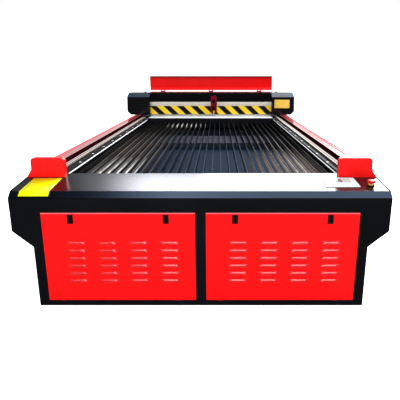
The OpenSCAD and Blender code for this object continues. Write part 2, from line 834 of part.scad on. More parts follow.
module tube_housing() color("#0d0f14") from_front() difference() {
    union() {
        across_body(-housing_x, housing_x) folded_sheet([
            [gantry_front + housing_d - 30, housing_top], [gantry_front + housing_d, housing_top],
            [gantry_front + housing_d, beam_top], [gantry_front, beam_top],
            [gantry_front, housing_top], [gantry_front + 56, housing_top]
        ], -gantry_face_t);
        both_sides() slab(housing_x - 2, housing_x, gantry_front + 1,
            gantry_front + housing_d - 1, beam_top, housing_top);
    }
    cross_pin(housing_x - 5, housing_x + 5, tube_mid_d, tube_z, beam_hole_r);
}

module laser_tube() color("#cfe3ea") from_front() translate([0, tube_mid_d, tube_z])
    rotate([0, 90, 0]) rotate_extrude($fn = 48) polygon([
        [0, -tube_l / 2], [tube_r * 0.55, -tube_l / 2], [tube_r * 0.55, -tube_l / 2 + 60],
        [tube_r * 0.75, -tube_l / 2 + 70], [tube_r, -tube_l / 2 + 100],
        [tube_r, tube_l / 2 - 100], [tube_r * 0.75, tube_l / 2 - 70],
        [tube_r * 0.55, tube_l / 2 - 60], [tube_r * 0.55, tube_l / 2], [0, tube_l / 2]
    ]);

module tube_cradles() color("#e6e7e8") from_front()
    for (side = [-1, 1]) difference() {
        union() {
            slab(side * cradle_x - cradle_w / 2, side * cradle_x + cradle_w / 2, tube_mid_d - tube_r - 8,
                tube_mid_d + tube_r + 8, beam_top + gantry_face_t, tube_z);
            cross_pin(side * cradle_x - cradle_w / 4, side * cradle_x + cradle_w / 4, tube_mid_d, tube_z,
                tube_r + 3);
        }
        cross_pin(side * cradle_x - cradle_w, side * cradle_x + cradle_w, tube_mid_d, tube_z,
            tube_r + 0.2);
    }

// Outlines of an end cap from the front and from the side, g inside the outer skin
module cap_from_front(g) {
    polygon([
        [cap_in_x + g, cap_z + g], [cap_out_x - 42 - g * 0.4, cap_z + g],
        [cap_out_x - g, cap_z + 42 + g * 0.4], [cap_out_x - 5 - g, cap_top - 48],
        [cap_out_x - 21 - g, cap_top - g], [cap_in_x + g, cap_top - g]
    ]);
}
module cap_from_side(g) {
    polygon([
        [cap_front + g, cap_z - 1], [cap_front + g, cap_top - 51],
        [cap_front + 48 + g, cap_top - g], [cap_rear - g, cap_top - g], [cap_rear - g, cap_z - 1]
    ]);
}
module cap_solid(g) {
    intersection() {
        along_body(cap_front, cap_rear) cap_from_front(g);
        across_body(cap_in_x - 1, cap_out_x + 1) cap_from_side(g);
    }
}
module end_cap() color("#0e1016") from_front() {
    difference() {
        cap_solid(0);
        cap_solid(cap_t);
        slab(cap_in_x - 1, housing_x + 3, gantry_front - 2, cap_rear + 1, cap_z - 1, cap_top + 1);
        slab(cap_in_x + cap_t, cap_floor_x, cap_front + cap_t, cap_rear - cap_t, cap_z - 1,
            cap_z + 10);
        cross_pin(cap_in_x - 1, cap_in_x + 5, beam_line_d, tube_z, beam_hole_r);
    }
    translate([cap_screw_x, cap_screw_d, cap_top + touch])
        cylinder(h = cap_screw_h, r = cap_screw_r);
}
module end_cap_r() end_cap();
module end_cap_l() mirror([1, 0, 0]) end_cap();

module rail_block(d) {
    difference() {
        slab(block_in_x, block_in_x + block_w, d, d + block_l, beam_top_z + 4,
            carriage_z - touch);
        slab(rail_mid_x - rail_w / 2 - slide_gap, rail_mid_x + rail_w / 2 + slide_gap, d - 1,
            d + block_l + 1, beam_top_z, rail_top_z + slide_gap);
    }
}
module y_carriages() color("#9ea3a9") from_front() both_sides() {
    rail_block(plate_d0 + 12);
    rail_block(plate_d1 - block_l - 12);
    slab(block_in_x, beam_out_x - 2, plate_d0, plate_d1, carriage_z, beam_z);
    slab(cap_floor_x - 1, beam_out_x - 2, plate_d0, plate_d1, beam_z, cap_z);
    slab(belt_mid_x - 17, belt_mid_x + 17, plate_d0 + 100, plate_d0 + 180, belt_top_z + clamp_gap,
        carriage_z - touch);
}

module bench_mirror(d, turn) {
    translate([mirror_x, d, 0]) {
        translate([0, 0, beam_top + bench_t + touch])
            cylinder(h = tube_z - beam_top - bench_t - 12, r = 9);
        translate([0, 0, tube_z]) rotate([0, 90, turn]) cylinder(h = 14, r = 20, center = true);
    }
}
module beam_mirrors() color("#7c1f2c") from_front() {
    slab(beam_x - 50, mirror_x + 30, beam_line_d - 10, tube_mid_d + 26, beam_top,
        beam_top + bench_t);
    bench_mirror(tube_mid_d, 45);
    bench_mirror(beam_line_d, -45);
}

module x_belt() color("#1b1b1b") from_front()
    translate([0, x_belt_d + x_belt_w, 0]) rotate([90, 0, 0]) linear_extrude(x_belt_w)
        belt_loop(-x_pulley_x, x_pulley_x, x_pulley_z, x_belt_in_r, x_belt_t);

module x_motor() color("#23262c") from_front() difference() {
    union() {
        slab(x_pulley_x - x_motor_size / 2, x_pulley_x + x_motor_size / 2, cap_front + 10,
            gantry_front + 1, x_pulley_z - x_motor_size / 2, x_pulley_z + x_motor_size / 2);
        for (u = [-1, 1]) for (v = [-1, 1]) {
            long_pin(x_pulley_x + u * 23.5, gantry_front, beam_front, x_pulley_z + v * 23.5, 4);
        }
    }
    long_pin(x_pulley_x, gantry_front - 20, gantry_front + 2, x_pulley_z, stud_r + fit_gap);
}

module x_drive_pulley() color("#8d9299") from_front() {
    long_pin(x_pulley_x, x_belt_d - 1, x_belt_d + x_belt_w + 1, x_pulley_z, x_pulley_r);
    long_pin(x_pulley_x, gantry_front - 14, x_belt_d, x_pulley_z, stud_r);
}
module x_idler_pulley() color("#8d9299") from_front() difference() {
    long_pin(-x_pulley_x, x_belt_d - 1, x_belt_d + x_belt_w + 1, x_pulley_z, x_pulley_r);
    long_pin(-x_pulley_x, x_belt_d - 5, x_belt_d + x_belt_w + 5, x_pulley_z, stud_r + fit_gap);
}

// ---- lid of the laser tube housing ----

module at_lid_hinges() {
    for (x = [-lid_hinge_x, 0, lid_hinge_x]) translate([x, 0, 0]) children();
}
module lid_hinges() color("#101114") from_front() at_lid_hinges() {
    slab(-12, 12, lid_axis_d - 26, lid_axis_d, housing_top, housing_top + 2.5);
    slab(-12, 12, lid_axis_d - 4, lid_axis_d + 4, housing_top, lid_axis_z);
    cross_pin(-12, 12, lid_axis_d, lid_axis_z, lid_barrel_r);
    cross_pin(-30, 30, lid_axis_d, lid_axis_z, lid_pin_r);
}

function forward(p, s) = [p[0] - s, p[1]];
module tube_lid() color("#f01515") from_front() difference() {
    union() {
        across_body(-lid_x, lid_x) folded_sheet(lid_path, lid_t);
        both_sides() across_body(lid_x - lid_t, lid_x) polygon([
            lid_path[0], lid_path[1], lid_path[2], forward(lid_path[2], 22),
            forward(lid_path[1], 20), forward(lid_path[0], 6)
        ]);
        at_lid_hinges() both_sides() {
            across_body(12.5, 30) folded_sheet([
                [lid_axis_d + 2, lid_axis_z], lid_path[0], (lid_path[0] + lid_path[1]) / 2
            ], 3);
            cross_pin(12.5, 30, lid_axis_d, lid_axis_z, lid_barrel_r);
        }
    }
    at_lid_hinges() cross_pin(-31, 31, lid_axis_d, lid_axis_z, lid_pin_r + fit_gap);
}

// ---- laser head ----

module head_carriage() color("#5e1420") from_front() translate([head_x, 0, 0]) difference() {
    union() {
        slab(-30, 30, head_plate_d + head_plate_t, beam_front - 3, beam_top - 33, beam_top - 1);
        slab(-head_w / 2, head_w / 2, head_plate_d, head_plate_d + head_plate_t, nozzle_z + 30,
            mirror_top - 10);
        slab(-10, 10, x_belt_d - 1, x_belt_d + x_belt_w + 1,
            x_pulley_z + x_belt_in_r + x_belt_t + clamp_gap, beam_top - 32);
        slab(-26, 26, head_mid_d - 22, head_plate_d, clamp_z, clamp_z + 34);
    }
    slab(-31, 31, beam_front - rail_x_w - slide_gap, beam_front + 1,
        rail_x_z - rail_x_w / 2 - slide_gap, rail_x_z + rail_x_w / 2 + slide_gap);
    translate([0, head_mid_d, clamp_z - 1]) cylinder(h = 40, r = lens_tube_r + fit_gap);
}

module mirror_mount() color("#8a1c2a") from_front() translate([head_x, 0, 0]) difference() {
    slab(-mirror_w / 2, mirror_w / 2, head_mid_d - 20, head_plate_d, mirror_z, mirror_top);
    translate([0, head_mid_d, mirror_z - 1]) cylinder(h = tube_z - mirror_z, r = beam_hole_r);
    cross_pin(0, mirror_w, head_mid_d, tube_z, beam_hole_r);
    translate([-mirror_w / 2, head_mid_d - 30, mirror_top - 22]) rotate([0, -45, 0])
        cube([40, 100, 40]);
}

// Lens tube, nozzle and the lens that sits on a ledge in the tube
module lens_unit() from_front() translate([head_x, head_mid_d, 0]) {
    color("#9c9fa5") translate([0, 0, lens_tube_z]) difference() {
        cylinder(h = lens_tube_top - lens_tube_z, r = lens_tube_r);
        translate([0, 0, -1]) cylinder(h = 30, r = lens_bore_r - 3);
        translate([0, 0, lens_ledge]) cylinder(h = 200, r = lens_bore_r);
    }
    color("#b98a3a") translate([0, 0, nozzle_z]) rotate_extrude($fn = 48) polygon([
        [2, 0], [4, 0], [lens_tube_r - 3, lens_tube_z - nozzle_z - touch],
        [lens_bore_r - 3, lens_tube_z - nozzle_z - touch]
    ]);
    color("#e8c34a") translate([0, 0, lens_tube_z + lens_ledge + touch])
        cylinder(h = 3, r = lens_bore_r - touch);
}

// ---- what is drawn ----

base_frame();
levelling_feet();
front_panel();
side_panels();
rear_panel();
console_deck();
rear_deck();
rail_beams();
y_rails();
rail_screws();
belt_channels();
y_belts();
y_motors();
side_cover_l();
side_cover_r();
end_guard_l();
end_guard_r();
blade_slats();
slat_combs();
cross_support();
chute_front();
chute_rear();
equipment_shelf();
laser_supply();
controller_box();
control_panel();
estop_base();
duct_spigots();
mains_inlet();
door_hinges();
idler_pulley_l();
idler_pulley_r();
drive_pulley_l();
drive_pulley_r();
door_l();
door_r();
latch_paddle_l1();
latch_paddle_l2();
latch_paddle_r1();
latch_paddle_r2();
estop_button();
gantry_beam();
stripe_panel();
x_rail();
tube_housing();
laser_tube();
tube_cradles();
end_cap_l();
end_cap_r();
y_carriages();
beam_mirrors();
x_belt();
x_motor();
x_drive_pulley();
x_idler_pulley();
lid_hinges();
tube_lid();
head_carriage();
mirror_mount();
lens_unit();
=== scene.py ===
# %% [markdown]
# # A flatbed laser cutter
# The steel body, the gantry and every moving part come from a packed construction model. This
# notebook lights that model, gives each piece its real finish, and adds the small parts that a
# construction model leaves out: pressed louvres, hinge leaves, latch frames, films, keys, trims and
# weld beads.

# %% Load the frame
import math

import bmesh
import bpy
from mathutils import Matrix, Vector


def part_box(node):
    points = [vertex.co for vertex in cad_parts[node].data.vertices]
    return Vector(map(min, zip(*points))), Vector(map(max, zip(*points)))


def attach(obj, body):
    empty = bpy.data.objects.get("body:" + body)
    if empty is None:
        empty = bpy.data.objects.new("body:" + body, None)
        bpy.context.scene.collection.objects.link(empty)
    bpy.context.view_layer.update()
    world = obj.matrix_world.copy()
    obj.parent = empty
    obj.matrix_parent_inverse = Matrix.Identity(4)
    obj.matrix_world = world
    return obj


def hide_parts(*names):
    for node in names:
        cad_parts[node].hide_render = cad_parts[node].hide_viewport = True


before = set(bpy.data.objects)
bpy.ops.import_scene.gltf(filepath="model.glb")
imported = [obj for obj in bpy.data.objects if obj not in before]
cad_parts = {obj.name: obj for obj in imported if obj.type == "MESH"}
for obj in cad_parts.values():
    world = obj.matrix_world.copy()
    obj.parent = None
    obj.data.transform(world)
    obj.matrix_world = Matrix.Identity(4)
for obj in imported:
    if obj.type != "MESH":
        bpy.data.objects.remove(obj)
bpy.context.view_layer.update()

MM = 0.001
print("pieces in the frame:", len(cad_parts))

# %% [markdown]
# ## Camera
# The camera stands in front of the machine at the eye height of a seated person and looks down 13
# degrees. A long lens from far away would flatten the machine. A short lens close to the console
# makes the far gantry look small, as it does to somebody who stands there.

# %% Camera
CAMERA_PLACE = (0.086, -3.530, 1.210)
LOOK_DOWN_DEG = 13.05
SENSOR_MM, LENS_MM = 36, 34.2
camera = bpy.data.objects.new("camera", bpy.data.cameras.new("camera"))
bpy.context.collection.objects.link(camera)
camera.location = CAMERA_PLACE
camera.rotation_euler = (math.radians(90 - LOOK_DOWN_DEG), 0, 0)
camera.data.sensor_width = SENSOR_MM
camera.data.lens = LENS_MM
camera.data.shift_x = -0.0440
camera.data.shift_y = -0.10
camera.data.dof.use_dof = False
bpy.context.scene.camera = camera
bpy.context.scene.view_settings.view_transform = "Standard"
print("camera at", CAMERA_PLACE, "with a lens of", LENS_MM, "mm")

# %% [markdown]
# ## Node helpers
# A material is a small graph. It could be wired by hand in the editor, but a graph is hard to read
# later. Here one helper adds a node, sets it and links its inputs, so a recipe reads from top to
# bottom. An input may be a number, a colour or the output of another node.

# %% Helpers for materials


def linear(hex_colour):
    parts = [int(hex_colour[i:i + 2], 16) / 255 for i in (1, 3, 5)]
    return tuple(c / 12.92 if c <= 0.04045 else ((c + 0.055) / 1.055) ** 2.4 for c in parts) + (1,)


def feed(node, inputs):
    for key, value in inputs.items():
        if isinstance(value, bpy.types.NodeSocket):
            node.id_data.links.new(value, node.inputs[key])
        else:
            node.inputs[key].default_value = value


def add(tree, kind, inputs=(), stops=(), **settings):
    made = tree.nodes.new("ShaderNode" + kind)
    for key, value in settings.items():
        setattr(made, key, value)
    feed(made, dict(inputs))
    band = made.color_ramp.elements if stops else ()
    while len(band) < len(stops):
        band.new(0.5)
    for element, (position, colour) in zip(band, stops):
        element.position = position
        element.color = (*colour[:3], 1)
    return made


def set_shader(shader, **values):
    feed(shader, {key.replace("_", " "): value for key, value in values.items()})


def new_material(name):
    material = bpy.data.materials.new(name)
    material.use_nodes = True
    print("material:", name)
    return material, material.node_tree


# %% [markdown]
# ## Floor
# A white workshop floor stands for that of a light studio. More light could make it white, but
# that light would wash out the black paint beside it. Instead the floor glows for the camera alone.
# Mirror rays see it much darker, as the black flags of a studio would make it, so that black paint
# stays black. What should shine gets its own soft box or its own card further down.

# %% Floor
FLOOR_REACH = 30
FLOOR_IN_MIRRORS = 0.16
WHITE = (1, 1, 1, 1)


def studio_sheet(name, bm, material):
    mesh = bpy.data.meshes.new(name)
    bm.to_mesh(mesh)
    bm.free()
    mesh.materials.append(material)
    made = bpy.data.objects.new(name, mesh)
    bpy.context.collection.objects.link(made)
    return made


floor_paint, tree = new_material("painted_studio_floor")
shader = tree.nodes["Principled BSDF"]
set_shader(shader, Base_Color=linear("#F4F4F4"), Roughness=0.9, Specular_IOR_Level=0.1)
rays = add(tree, "LightPath").outputs
glow = add(tree, "Emission", {"Color": WHITE, "Strength": rays["Is Camera Ray"]})
bright = add(tree, "AddShader", {0: shader.outputs[0], 1: glow.outputs[0]})
flagged = add(tree, "Emission", {"Color": WHITE, "Strength": FLOOR_IN_MIRRORS})
both = add(tree, "MixShader", {"Fac": rays["Is Glossy Ray"], 1: bright.outputs[0],
                               2: flagged.outputs[0]})
feed(tree.nodes["Material Output"], {"Surface": both.outputs[0]})
bm = bmesh.new()
bmesh.ops.create_grid(bm, x_segments=1, y_segments=1, size=FLOOR_REACH)
floor = studio_sheet("studio_floor", bm, floor_paint)
print("floor reaches", FLOOR_REACH, "m each way")

# %% [markdown]
# ## World
# The room round the machine is a plain pale one. The camera, and what is seen through glass, get it
# at full white. The rest of the light that it casts is weaker and slightly blue, as daylight from
# a shaded window is. A panorama of a real room would also do, but it would not be plain.

# %% World
WORLD_LIGHT, WORLD_IN_MIRRORS = 0.55, 0.35
world = bpy.data.worlds.new("studio")
bpy.context.scene.world = world
world.use_nodes = True
tree = world.node_tree
for old in list(tree.nodes):
    tree.nodes.remove(old)
rays = add(tree, "LightPath").outputs
shown = add(tree, "Math", {0: rays["Is Camera Ray"], 1: rays["Is Transmission Ray"]},
            operation="MAXIMUM")
cast = add(tree, "Background", {"Color": (0.96, 0.98, 1, 1), "Strength": WORLD_LIGHT})
flagged = add(tree, "Background", {"Color": (0.9, 0.95, 1, 1), "Strength": WORLD_IN_MIRRORS})
white = add(tree, "Background", {"Color": WHITE, "Strength": 1.0})
dim = add(tree, "MixShader", {"Fac": rays["Is Glossy Ray"], 1: cast.outputs[0],
                              2: flagged.outputs[0]})
mixed = add(tree, "MixShader", {"Fac": shown.outputs[0], 1: dim.outputs[0], 2: white.outputs[0]})
add(tree, "OutputWorld", {"Surface": mixed.outputs[0]})
print("world casts light at", WORLD_LIGHT)

# %% [markdown]
# ## Soft boxes
# A machine this long is lit by large soft boxes: two in front for the doors and the console, one
# over the bed, and a strong one behind for the gantry. Small lamps would be simpler, but they throw
# hard shadows. Area lamps of a soft box's real size throw soft ones.

# %% Soft boxes


def soft_box(name, place, target, width, height, watts, colour=(1, 1, 1)):
    lamp = bpy.data.lights.new(name, "AREA")
    lamp.shape = "RECTANGLE"
    lamp.size, lamp.size_y, lamp.energy, lamp.color = width, height, watts, colour
    made = bpy.data.objects.new(name, lamp)
    bpy.context.collection.objects.link(made)
    made.location = place
    made.rotation_euler = (Vector(target) - Vector(place)).to_track_quat("-Z", "Y").to_euler()
    print(name, watts, "W over", round(width * height, 1), "square metres")


soft_box("front_box", (-1.5, -6.5, 3.2), (0, -1.5, 0.4), 4.0, 3.0, 200)
soft_box("high_front_box", (1.0, -3.2, 4.6), (1.0, -2.0, 0.6), 4.4, 1.8, 75, (0.5, 0.72, 1))
soft_box("top_box", (1.8, 0.6, 4.5), (0, 0.2, 0.6), 3.0, 3.0, 170)
soft_box("rear_box", (2.9, 5.6, 3.6), (0.4, -1.0, 0.6), 6.4, 3.0, 950, (0.97, 0.985, 1))

# %% [markdown]
# ## Cards that only show in gloss
# A studio shapes gloss paint with white cards that stand just out of view. A lamp could do it, but
# it would light the rest as well. Each card here is a plane that mirror rays see and nothing else
# does, so it adds a reflection without adding light. Its brightness runs along X, which gives a
# reflection a soft end.

# %% Gloss cards


def gloss_card(name, low, high, colour, levels):
    low, high = Vector(low), Vector(high)
    upright = abs(high.y - low.y) < 1e-6
    corners = [low, Vector((high.x, low.y, low.z)), high,
               Vector((low.x, low.y, high.z) if upright else (low.x, high.y, low.z))]
    bm = bmesh.new()
    bm.faces.new([bm.verts.new(c) for c in corners])
    material, tree = new_material(name)
    tree.nodes.remove(tree.nodes["Principled BSDF"])
    place = add(tree, "SeparateXYZ", {"Vector": add(tree, "TexCoord").outputs["Object"]})
    along = add(tree, "MapRange", {"Value": place.outputs["X"], "From Min": low.x,
                                   "From Max": high.x})
    peak = max(level for _, level in levels)
    fade = add(tree, "ValToRGB", {"Fac": along.outputs[0]},
               stops=[((x - low.x) / (high.x - low.x), (level / peak,) * 3)
                      for x, level in levels])
    power = add(tree, "Math", {0: fade.outputs["Color"], 1: peak}, operation="MULTIPLY")
    shine = add(tree, "Emission", {"Color": (*colour, 1), "Strength": power.outputs[0]})
    feed(tree.nodes["Material Output"], {"Surface": shine.outputs[0]})
    made = studio_sheet(name, bm, material)
    made.visible_camera = made.visible_diffuse = made.visible_shadow = False
    made.visible_transmission = False
    print(name, "peaks at", peak)


gloss_card("card_for_louvres", (-3.2, -5.5, 2.0), (3.8, -5.5, 5.4), (1, 0.98, 0.98),
           [(-3.2, 0.1), (-2.2, 0.3), (-1.6, 0.9), (-1.1, 3.2), (-0.5, 6.0), (3.8, 6.0)])
gloss_card("card_for_console", (-3.6, 2.9, 3.2), (3.4, 2.9, 4.2), (0.9, 0.93, 1),
           [(-3.6, 0.0), (-2.7, 0.35), (-2.1, 2.0), (-1.75, 6.8), (-1.2, 17.0), (3.4, 17.0)])
gloss_card("card_for_lip", (-3.4, -3.7, 4.2), (3.4, -2.1, 4.2), (0.46, 0.65, 1),
           [(-3.4, 0.0), (-1.9, 0.2), (-1.6, 0.6), (-1.35, 2.6), (-0.95, 5.4), (-0.6, 7.6),
            (-0.1, 6.2), (0.8, 4.6), (3.4, 4.8)])
gloss_card("card_for_covers", (-5.5, 6.0, 0.5), (5.5, 6.0, 3.3), (1, 0.99, 0.99),
           [(-5.5, 0.9), (-1.5, 1.15), (1.0, 1.25), (5.5, 1.3)])
gloss_card("card_for_gantry", (-2.4, 0.2, 5.0), (2.8, 2.6, 5.0), (0.55, 0.74, 1),
           [(-2.4, 3.0), (0.0, 4.0), (2.8, 5.0)])

# %% [markdown]
# ## Powder-coated steel
# The cladding is folded sheet, sprayed with polyester powder and baked. The powder melts into a
# skin with a faint orange peel, so the gloss is slightly uneven at a scale of 2 to 4 mm. A scanned
# image of paint could be used, but noise has no seams and keeps its real size on every piece. One
# recipe makes every plain coat; only its colour, gloss and grain change. Grain this fine hardly
# shows at arm's length, so a second, wide and weak noise adds the slow change of tone of a baked
# coat.

# %% Powder coats
ORANGE_PEEL_MM, PEEL_DEPTH = 3.5, 0.4 * MM
SLOW_TONE_MM = 260


def new_finish(name):
    material, tree = new_material(name)
    place = add(tree, "TexCoord").outputs["Object"]
    return material, tree, tree.nodes["Principled BSDF"], place


def toned(colour, factor):
    return tuple(min(1, c * factor) for c in colour[:3])


def noise_span(dark, light):
    return [(0.3, dark), (0.7, light)]


def orange_peel(tree, place, strength):
    skin = add(tree, "TexNoise", {"Vector": place, "Scale": 1000 / ORANGE_PEEL_MM})
    return add(tree, "Bump", {"Height": skin.outputs["Fac"], "Strength": strength,
                              "Distance": PEEL_DEPTH}).outputs["Normal"]


def powder_coat(name, hex_colour, roughness, specular=0.5, peel=0.12, tone=0.06):
    material, tree, shader, place = new_finish(name)
    slow = add(tree, "TexNoise", {"Vector": place, "Scale": 1000 / SLOW_TONE_MM, "Detail": 3.0})
    colour = linear(hex_colour)
    base = add(tree, "ValToRGB", {"Fac": slow.outputs["Fac"]},
               stops=noise_span(toned(colour, 1 - tone), toned(colour, 1 + tone)))
    gloss = add(tree, "MapRange", {"Value": slow.outputs["Fac"], "To Min": roughness * 0.85,
                                   "To Max": min(1, roughness * 1.2)})
    set_shader(shader, Base_Color=base.outputs["Color"], Roughness=gloss.outputs["Result"],
               Normal=orange_peel(tree, place, peel), Specular_IOR_Level=specular)
    return material


# Gloss reds: full colour, with a narrow sheen on the edges and a wet one on the pressings. The
# pressings are a darker red than the door sheet they are pressed from: painted shade on the hoods
red_coat = powder_coat("powder_coat_red_gloss", "#FB0F10", 0.34, specular=0.05)
guard_coat = powder_coat("powder_coat_red_semi_gloss", "#F80F10", 0.30, specular=0.14)
hood_coat = powder_coat("powder_coat_red_pressings", "#D6090A", 0.14, specular=0.7, peel=0.04)
# Satin black for the body: a broad, dim sheen that hides dents
black_coat = powder_coat("powder_coat_black_satin", "#06070B", 0.42, specular=0.12, tone=0.2)
# Smooth blacks for what is seen first: dark, with clear reflections
gloss_black = powder_coat("powder_coat_black_gloss", "#05060A", 0.17, specular=0.38, peel=0.05)
cap_black = powder_coat("powder_coat_black_caps", "#040508", 0.13, specular=0.3, peel=0.03)
housing_black = powder_coat("powder_coat_black_housing", "#040406", 0.2, specular=0.08, peel=0.03)
# Matt primers and paints inside the machine: cloudy and dull, they hardly catch the light
frame_coat = powder_coat("primer_black_matt", "#0E1014", 0.6, specular=0.04, tone=0.25)
# Near-black navy on the rear chute: painted shade under the far half of the bed
chute_coat = powder_coat("powder_coat_navy_matt", "#070A12", 0.7, specular=0.01, tone=0.25)
# Blue-grey on the front tray: a painted reflection of the sky, since the coat itself hardly mirrors
blue_grey_coat = powder_coat("powder_coat_blue_grey", "#253244", 0.7, specular=0.01, tone=0.15)
dark_grey_coat = powder_coat("powder_coat_dark_grey", "#343640", 0.7, specular=0.01, tone=0.3)
# Bought-in parts: an even, clean coat from the maker of the part
panel_coat = powder_coat("powder_coat_panel_white", "#E2EEE6", 0.35, tone=0.02)
motor_enamel = powder_coat("black_motor_enamel", "#15171B", 0.35, specular=0.3, tone=0.15)
zinc_grey_coat = powder_coat("powder_coat_light_grey", "#B9BDC2", 0.45, tone=0.05)

# %% [markdown]
# ## Metals
# A metal has no colour under its surface: all that shows is its mirror colour and how rough the
# work left it. Extruded and ground pieces carry fine lines along the tool's travel. An anisotropic
# shader would stretch the highlights only. Noise that is squeezed in one direction draws the lines
# too, so it reads as brushing and not as spots.

# %% Worked metals
STAIN_MM, LINE_DEPTH = 90, 0.3 * MM


def drawn_lines(tree, place, squeeze, apart_mm, **noise):
    squeezed = add(tree, "Mapping", {"Vector": place, "Scale": squeeze})
    return add(tree, "TexNoise", {"Vector": squeezed.outputs[0], "Scale": 1000 / apart_mm,
                                  **noise}).outputs["Fac"]


def worked_metal(name, hex_colour, roughness, lines_mm=1.2, along="Y", stain=0.0,
                 stain_hex="#3A322B", stretch=60, metal=1.0):
    material, tree, shader, place = new_finish(name)
    squeeze = {"X": (1 / stretch, 1, 1), "Y": (1, 1 / stretch, 1), "Z": (1, 1, 1 / stretch)}[along]
    lines = drawn_lines(tree, place, squeeze, lines_mm, Detail=4.0)
    patches = add(tree, "TexNoise", {"Vector": place, "Scale": 1000 / STAIN_MM, "Detail": 5.0,
                                     "Roughness": 0.6})
    colour = linear(hex_colour)
    base = add(tree, "ValToRGB", {"Fac": lines}, stops=noise_span(toned(colour, 0.82), colour))
    amount = add(tree, "MapRange", {"Value": patches.outputs["Fac"], "From Min": 0.45,
                                    "From Max": 0.75, "To Min": 0.0, "To Max": stain})
    stained = add(tree, "MixRGB", {"Fac": amount.outputs["Result"], "Color1": base.outputs["Color"],
                                   "Color2": linear(stain_hex)})
    gloss = add(tree, "MapRange", {"Value": lines, "To Min": roughness * 0.8,
                                   "To Max": min(1, roughness * 1.25)})
    bump = add(tree, "Bump", {"Height": lines, "Strength": 0.15, "Distance": LINE_DEPTH})
    set_shader(shader, Base_Color=stained.outputs["Color"], Roughness=gloss.outputs["Result"],
               Normal=bump.outputs["Normal"], Metallic=metal,
               Specular_IOR_Level=0.5 if metal else 0.01)
    return material


# Anodised and ground parts that show their lines more than they mirror: pale or sooty, and dull
beam_metal = worked_metal("anodised_aluminium_beam", "#FFF3E4", 0.5, along="X", metal=0.0)
channel_metal = worked_metal("anodised_aluminium_channel", "#3A3632", 0.6, metal=0.0)
x_rail_metal = worked_metal("ground_bearing_steel_x", "#FFF6EC", 0.5, lines_mm=0.8, along="X",
                            metal=0.0)
screw_metal = worked_metal("nickel_plated_screw", "#F4F0EA", 0.3, lines_mm=0.6, along="Z",
                           metal=0.0)
# Bare turned and plated parts: true metals that take the colour of what is round them
turned_metal = worked_metal("turned_steel", "#A7ACB3", 0.28, lines_mm=0.9, along="X")
zinc_metal = worked_metal("zinc_plated_sheet", "#C4C8CC", 0.38, lines_mm=3, stain=0.1,
                          stain_hex="#8D9195", stretch=4)
maroon_metal = worked_metal("anodised_aluminium_maroon", "#7A1826", 0.34, lines_mm=0.9, along="Z")

# %% [markdown]
# ## Coats in zones
# The long covers are sprayed after folding. Across their width they are drawn in zones: the inner
# leg is dark maroon and dull, painted shade; pink bands along the inner fold and near the outer
# edge are painted highlights; the top is deep red, polished by sleeves, and mirrors the room. Each
# zone could be a face group with its own material, but the edges would be hard and the cover would
# fall into several pieces. One graph blends the zones by distance from the middle of the machine
# instead.
# The lid and the doors use the same graph by height, with painted highlights and painted shade.

# %% Recipe for a coat in zones


def zoned_coat(name, axis_name, zones, roughness, both_sides=False, tones=(0.85, 1.1)):
    material, tree, shader, place = new_finish(name)
    value = add(tree, "SeparateXYZ", {"Vector": place}).outputs[axis_name]
    if both_sides:
        value = add(tree, "Math", {0: value}, operation="ABSOLUTE").outputs[0]
    start, end = zones[0][0] - 10 * MM, zones[-1][0] + 10 * MM
    along = add(tree, "MapRange", {"Value": value, "From Min": start, "From Max": end})
    spots = [(x - start) / (end - start) for x, _, _ in zones]
    base = add(tree, "ValToRGB", {"Fac": along.outputs[0]},
               stops=[(spot, linear(c)) for spot, (_, c, _) in zip(spots, zones)])
    levels = [level for _, _, level in zones]
    specular = levels[0]
    if max(levels) > min(levels):
        specular = add(tree, "ValToRGB", {"Fac": along.outputs[0]},
                       stops=[(spot, (level,) * 3) for spot, level in zip(spots, levels)])
        specular = specular.outputs["Color"]
    slow = add(tree, "TexNoise", {"Vector": place, "Scale": 1000 / SLOW_TONE_MM, "Detail": 3.0})
    tone = add(tree, "MapRange", {"Value": slow.outputs["Fac"], "To Min": tones[0],
                                  "To Max": tones[1]})
    mixed = add(tree, "MixRGB", {"Fac": 1.0, "Color1": base.outputs["Color"],
                                 "Color2": tone.outputs[0]}, blend_type="MULTIPLY")
    set_shader(shader, Base_Color=mixed.outputs["Color"], Specular_IOR_Level=specular,
               Normal=orange_peel(tree, place, 0.08), Roughness=roughness)
    return material


# %% Covers, lid and doors
# A zone gives its place, its colour and how strongly it mirrors: dark maroon and flat on the inner
# leg as painted shade, pink along the inner fold and near the outer edge as painted highlights,
# deep red and wet on top, red on the outer leg
cover_low, cover_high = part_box("side_cover_r")
cover_in, cover_out = cover_low[0], cover_high[0]
cover_coat = zoned_coat("powder_coat_red_cover", "X", [
    (cover_in + 2.0 * MM, "#2A0509", 0.0), (cover_in + 2.6 * MM, "#C87880", 0.5),
    (cover_in + 6.0 * MM, "#C87880", 0.5), (cover_in + 9.0 * MM, "#8A0C14", 0.7),
    (cover_out - 38.0 * MM, "#8A0C14", 0.7), (cover_out - 36.0 * MM, "#C0505A", 0.0),
    (cover_out - 25.0 * MM, "#C0505A", 0.0), (cover_out - 23.0 * MM, "#A01820", 0.2),
    (cover_out - 13.0 * MM, "#A01820", 0.2), (cover_out - 11.0 * MM, "#CC3A42", 0.0)],
    0.16, both_sides=True)
lid_low, lid_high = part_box("tube_lid")
# Painted highlight: the lid is lighter red along its foot. Painted shade: dark maroon along its top
# edge
lid_coat = zoned_coat("powder_coat_red_lid", "Z", [
    (lid_low[2] + 20 * MM, "#FF2A2C", 0.1), (lid_low[2] + 50 * MM, "#F80A0B", 0.06),
    (lid_high[2] - 14 * MM, "#F80A0B", 0.06), (lid_high[2] - 9 * MM, "#5E0709", 0.05)], 0.2)
door_top_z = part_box("door_l")[1][2]
# Painted highlight: a pink band along the top edge of each door
door_coat = zoned_coat("powder_coat_red_doors", "Z", [
    (door_top_z - 5.4 * MM, "#FB0F10", 0.05), (door_top_z - 4.6 * MM, "#F4666C", 0.05)],
    0.34, tones=(0.95, 1.0))
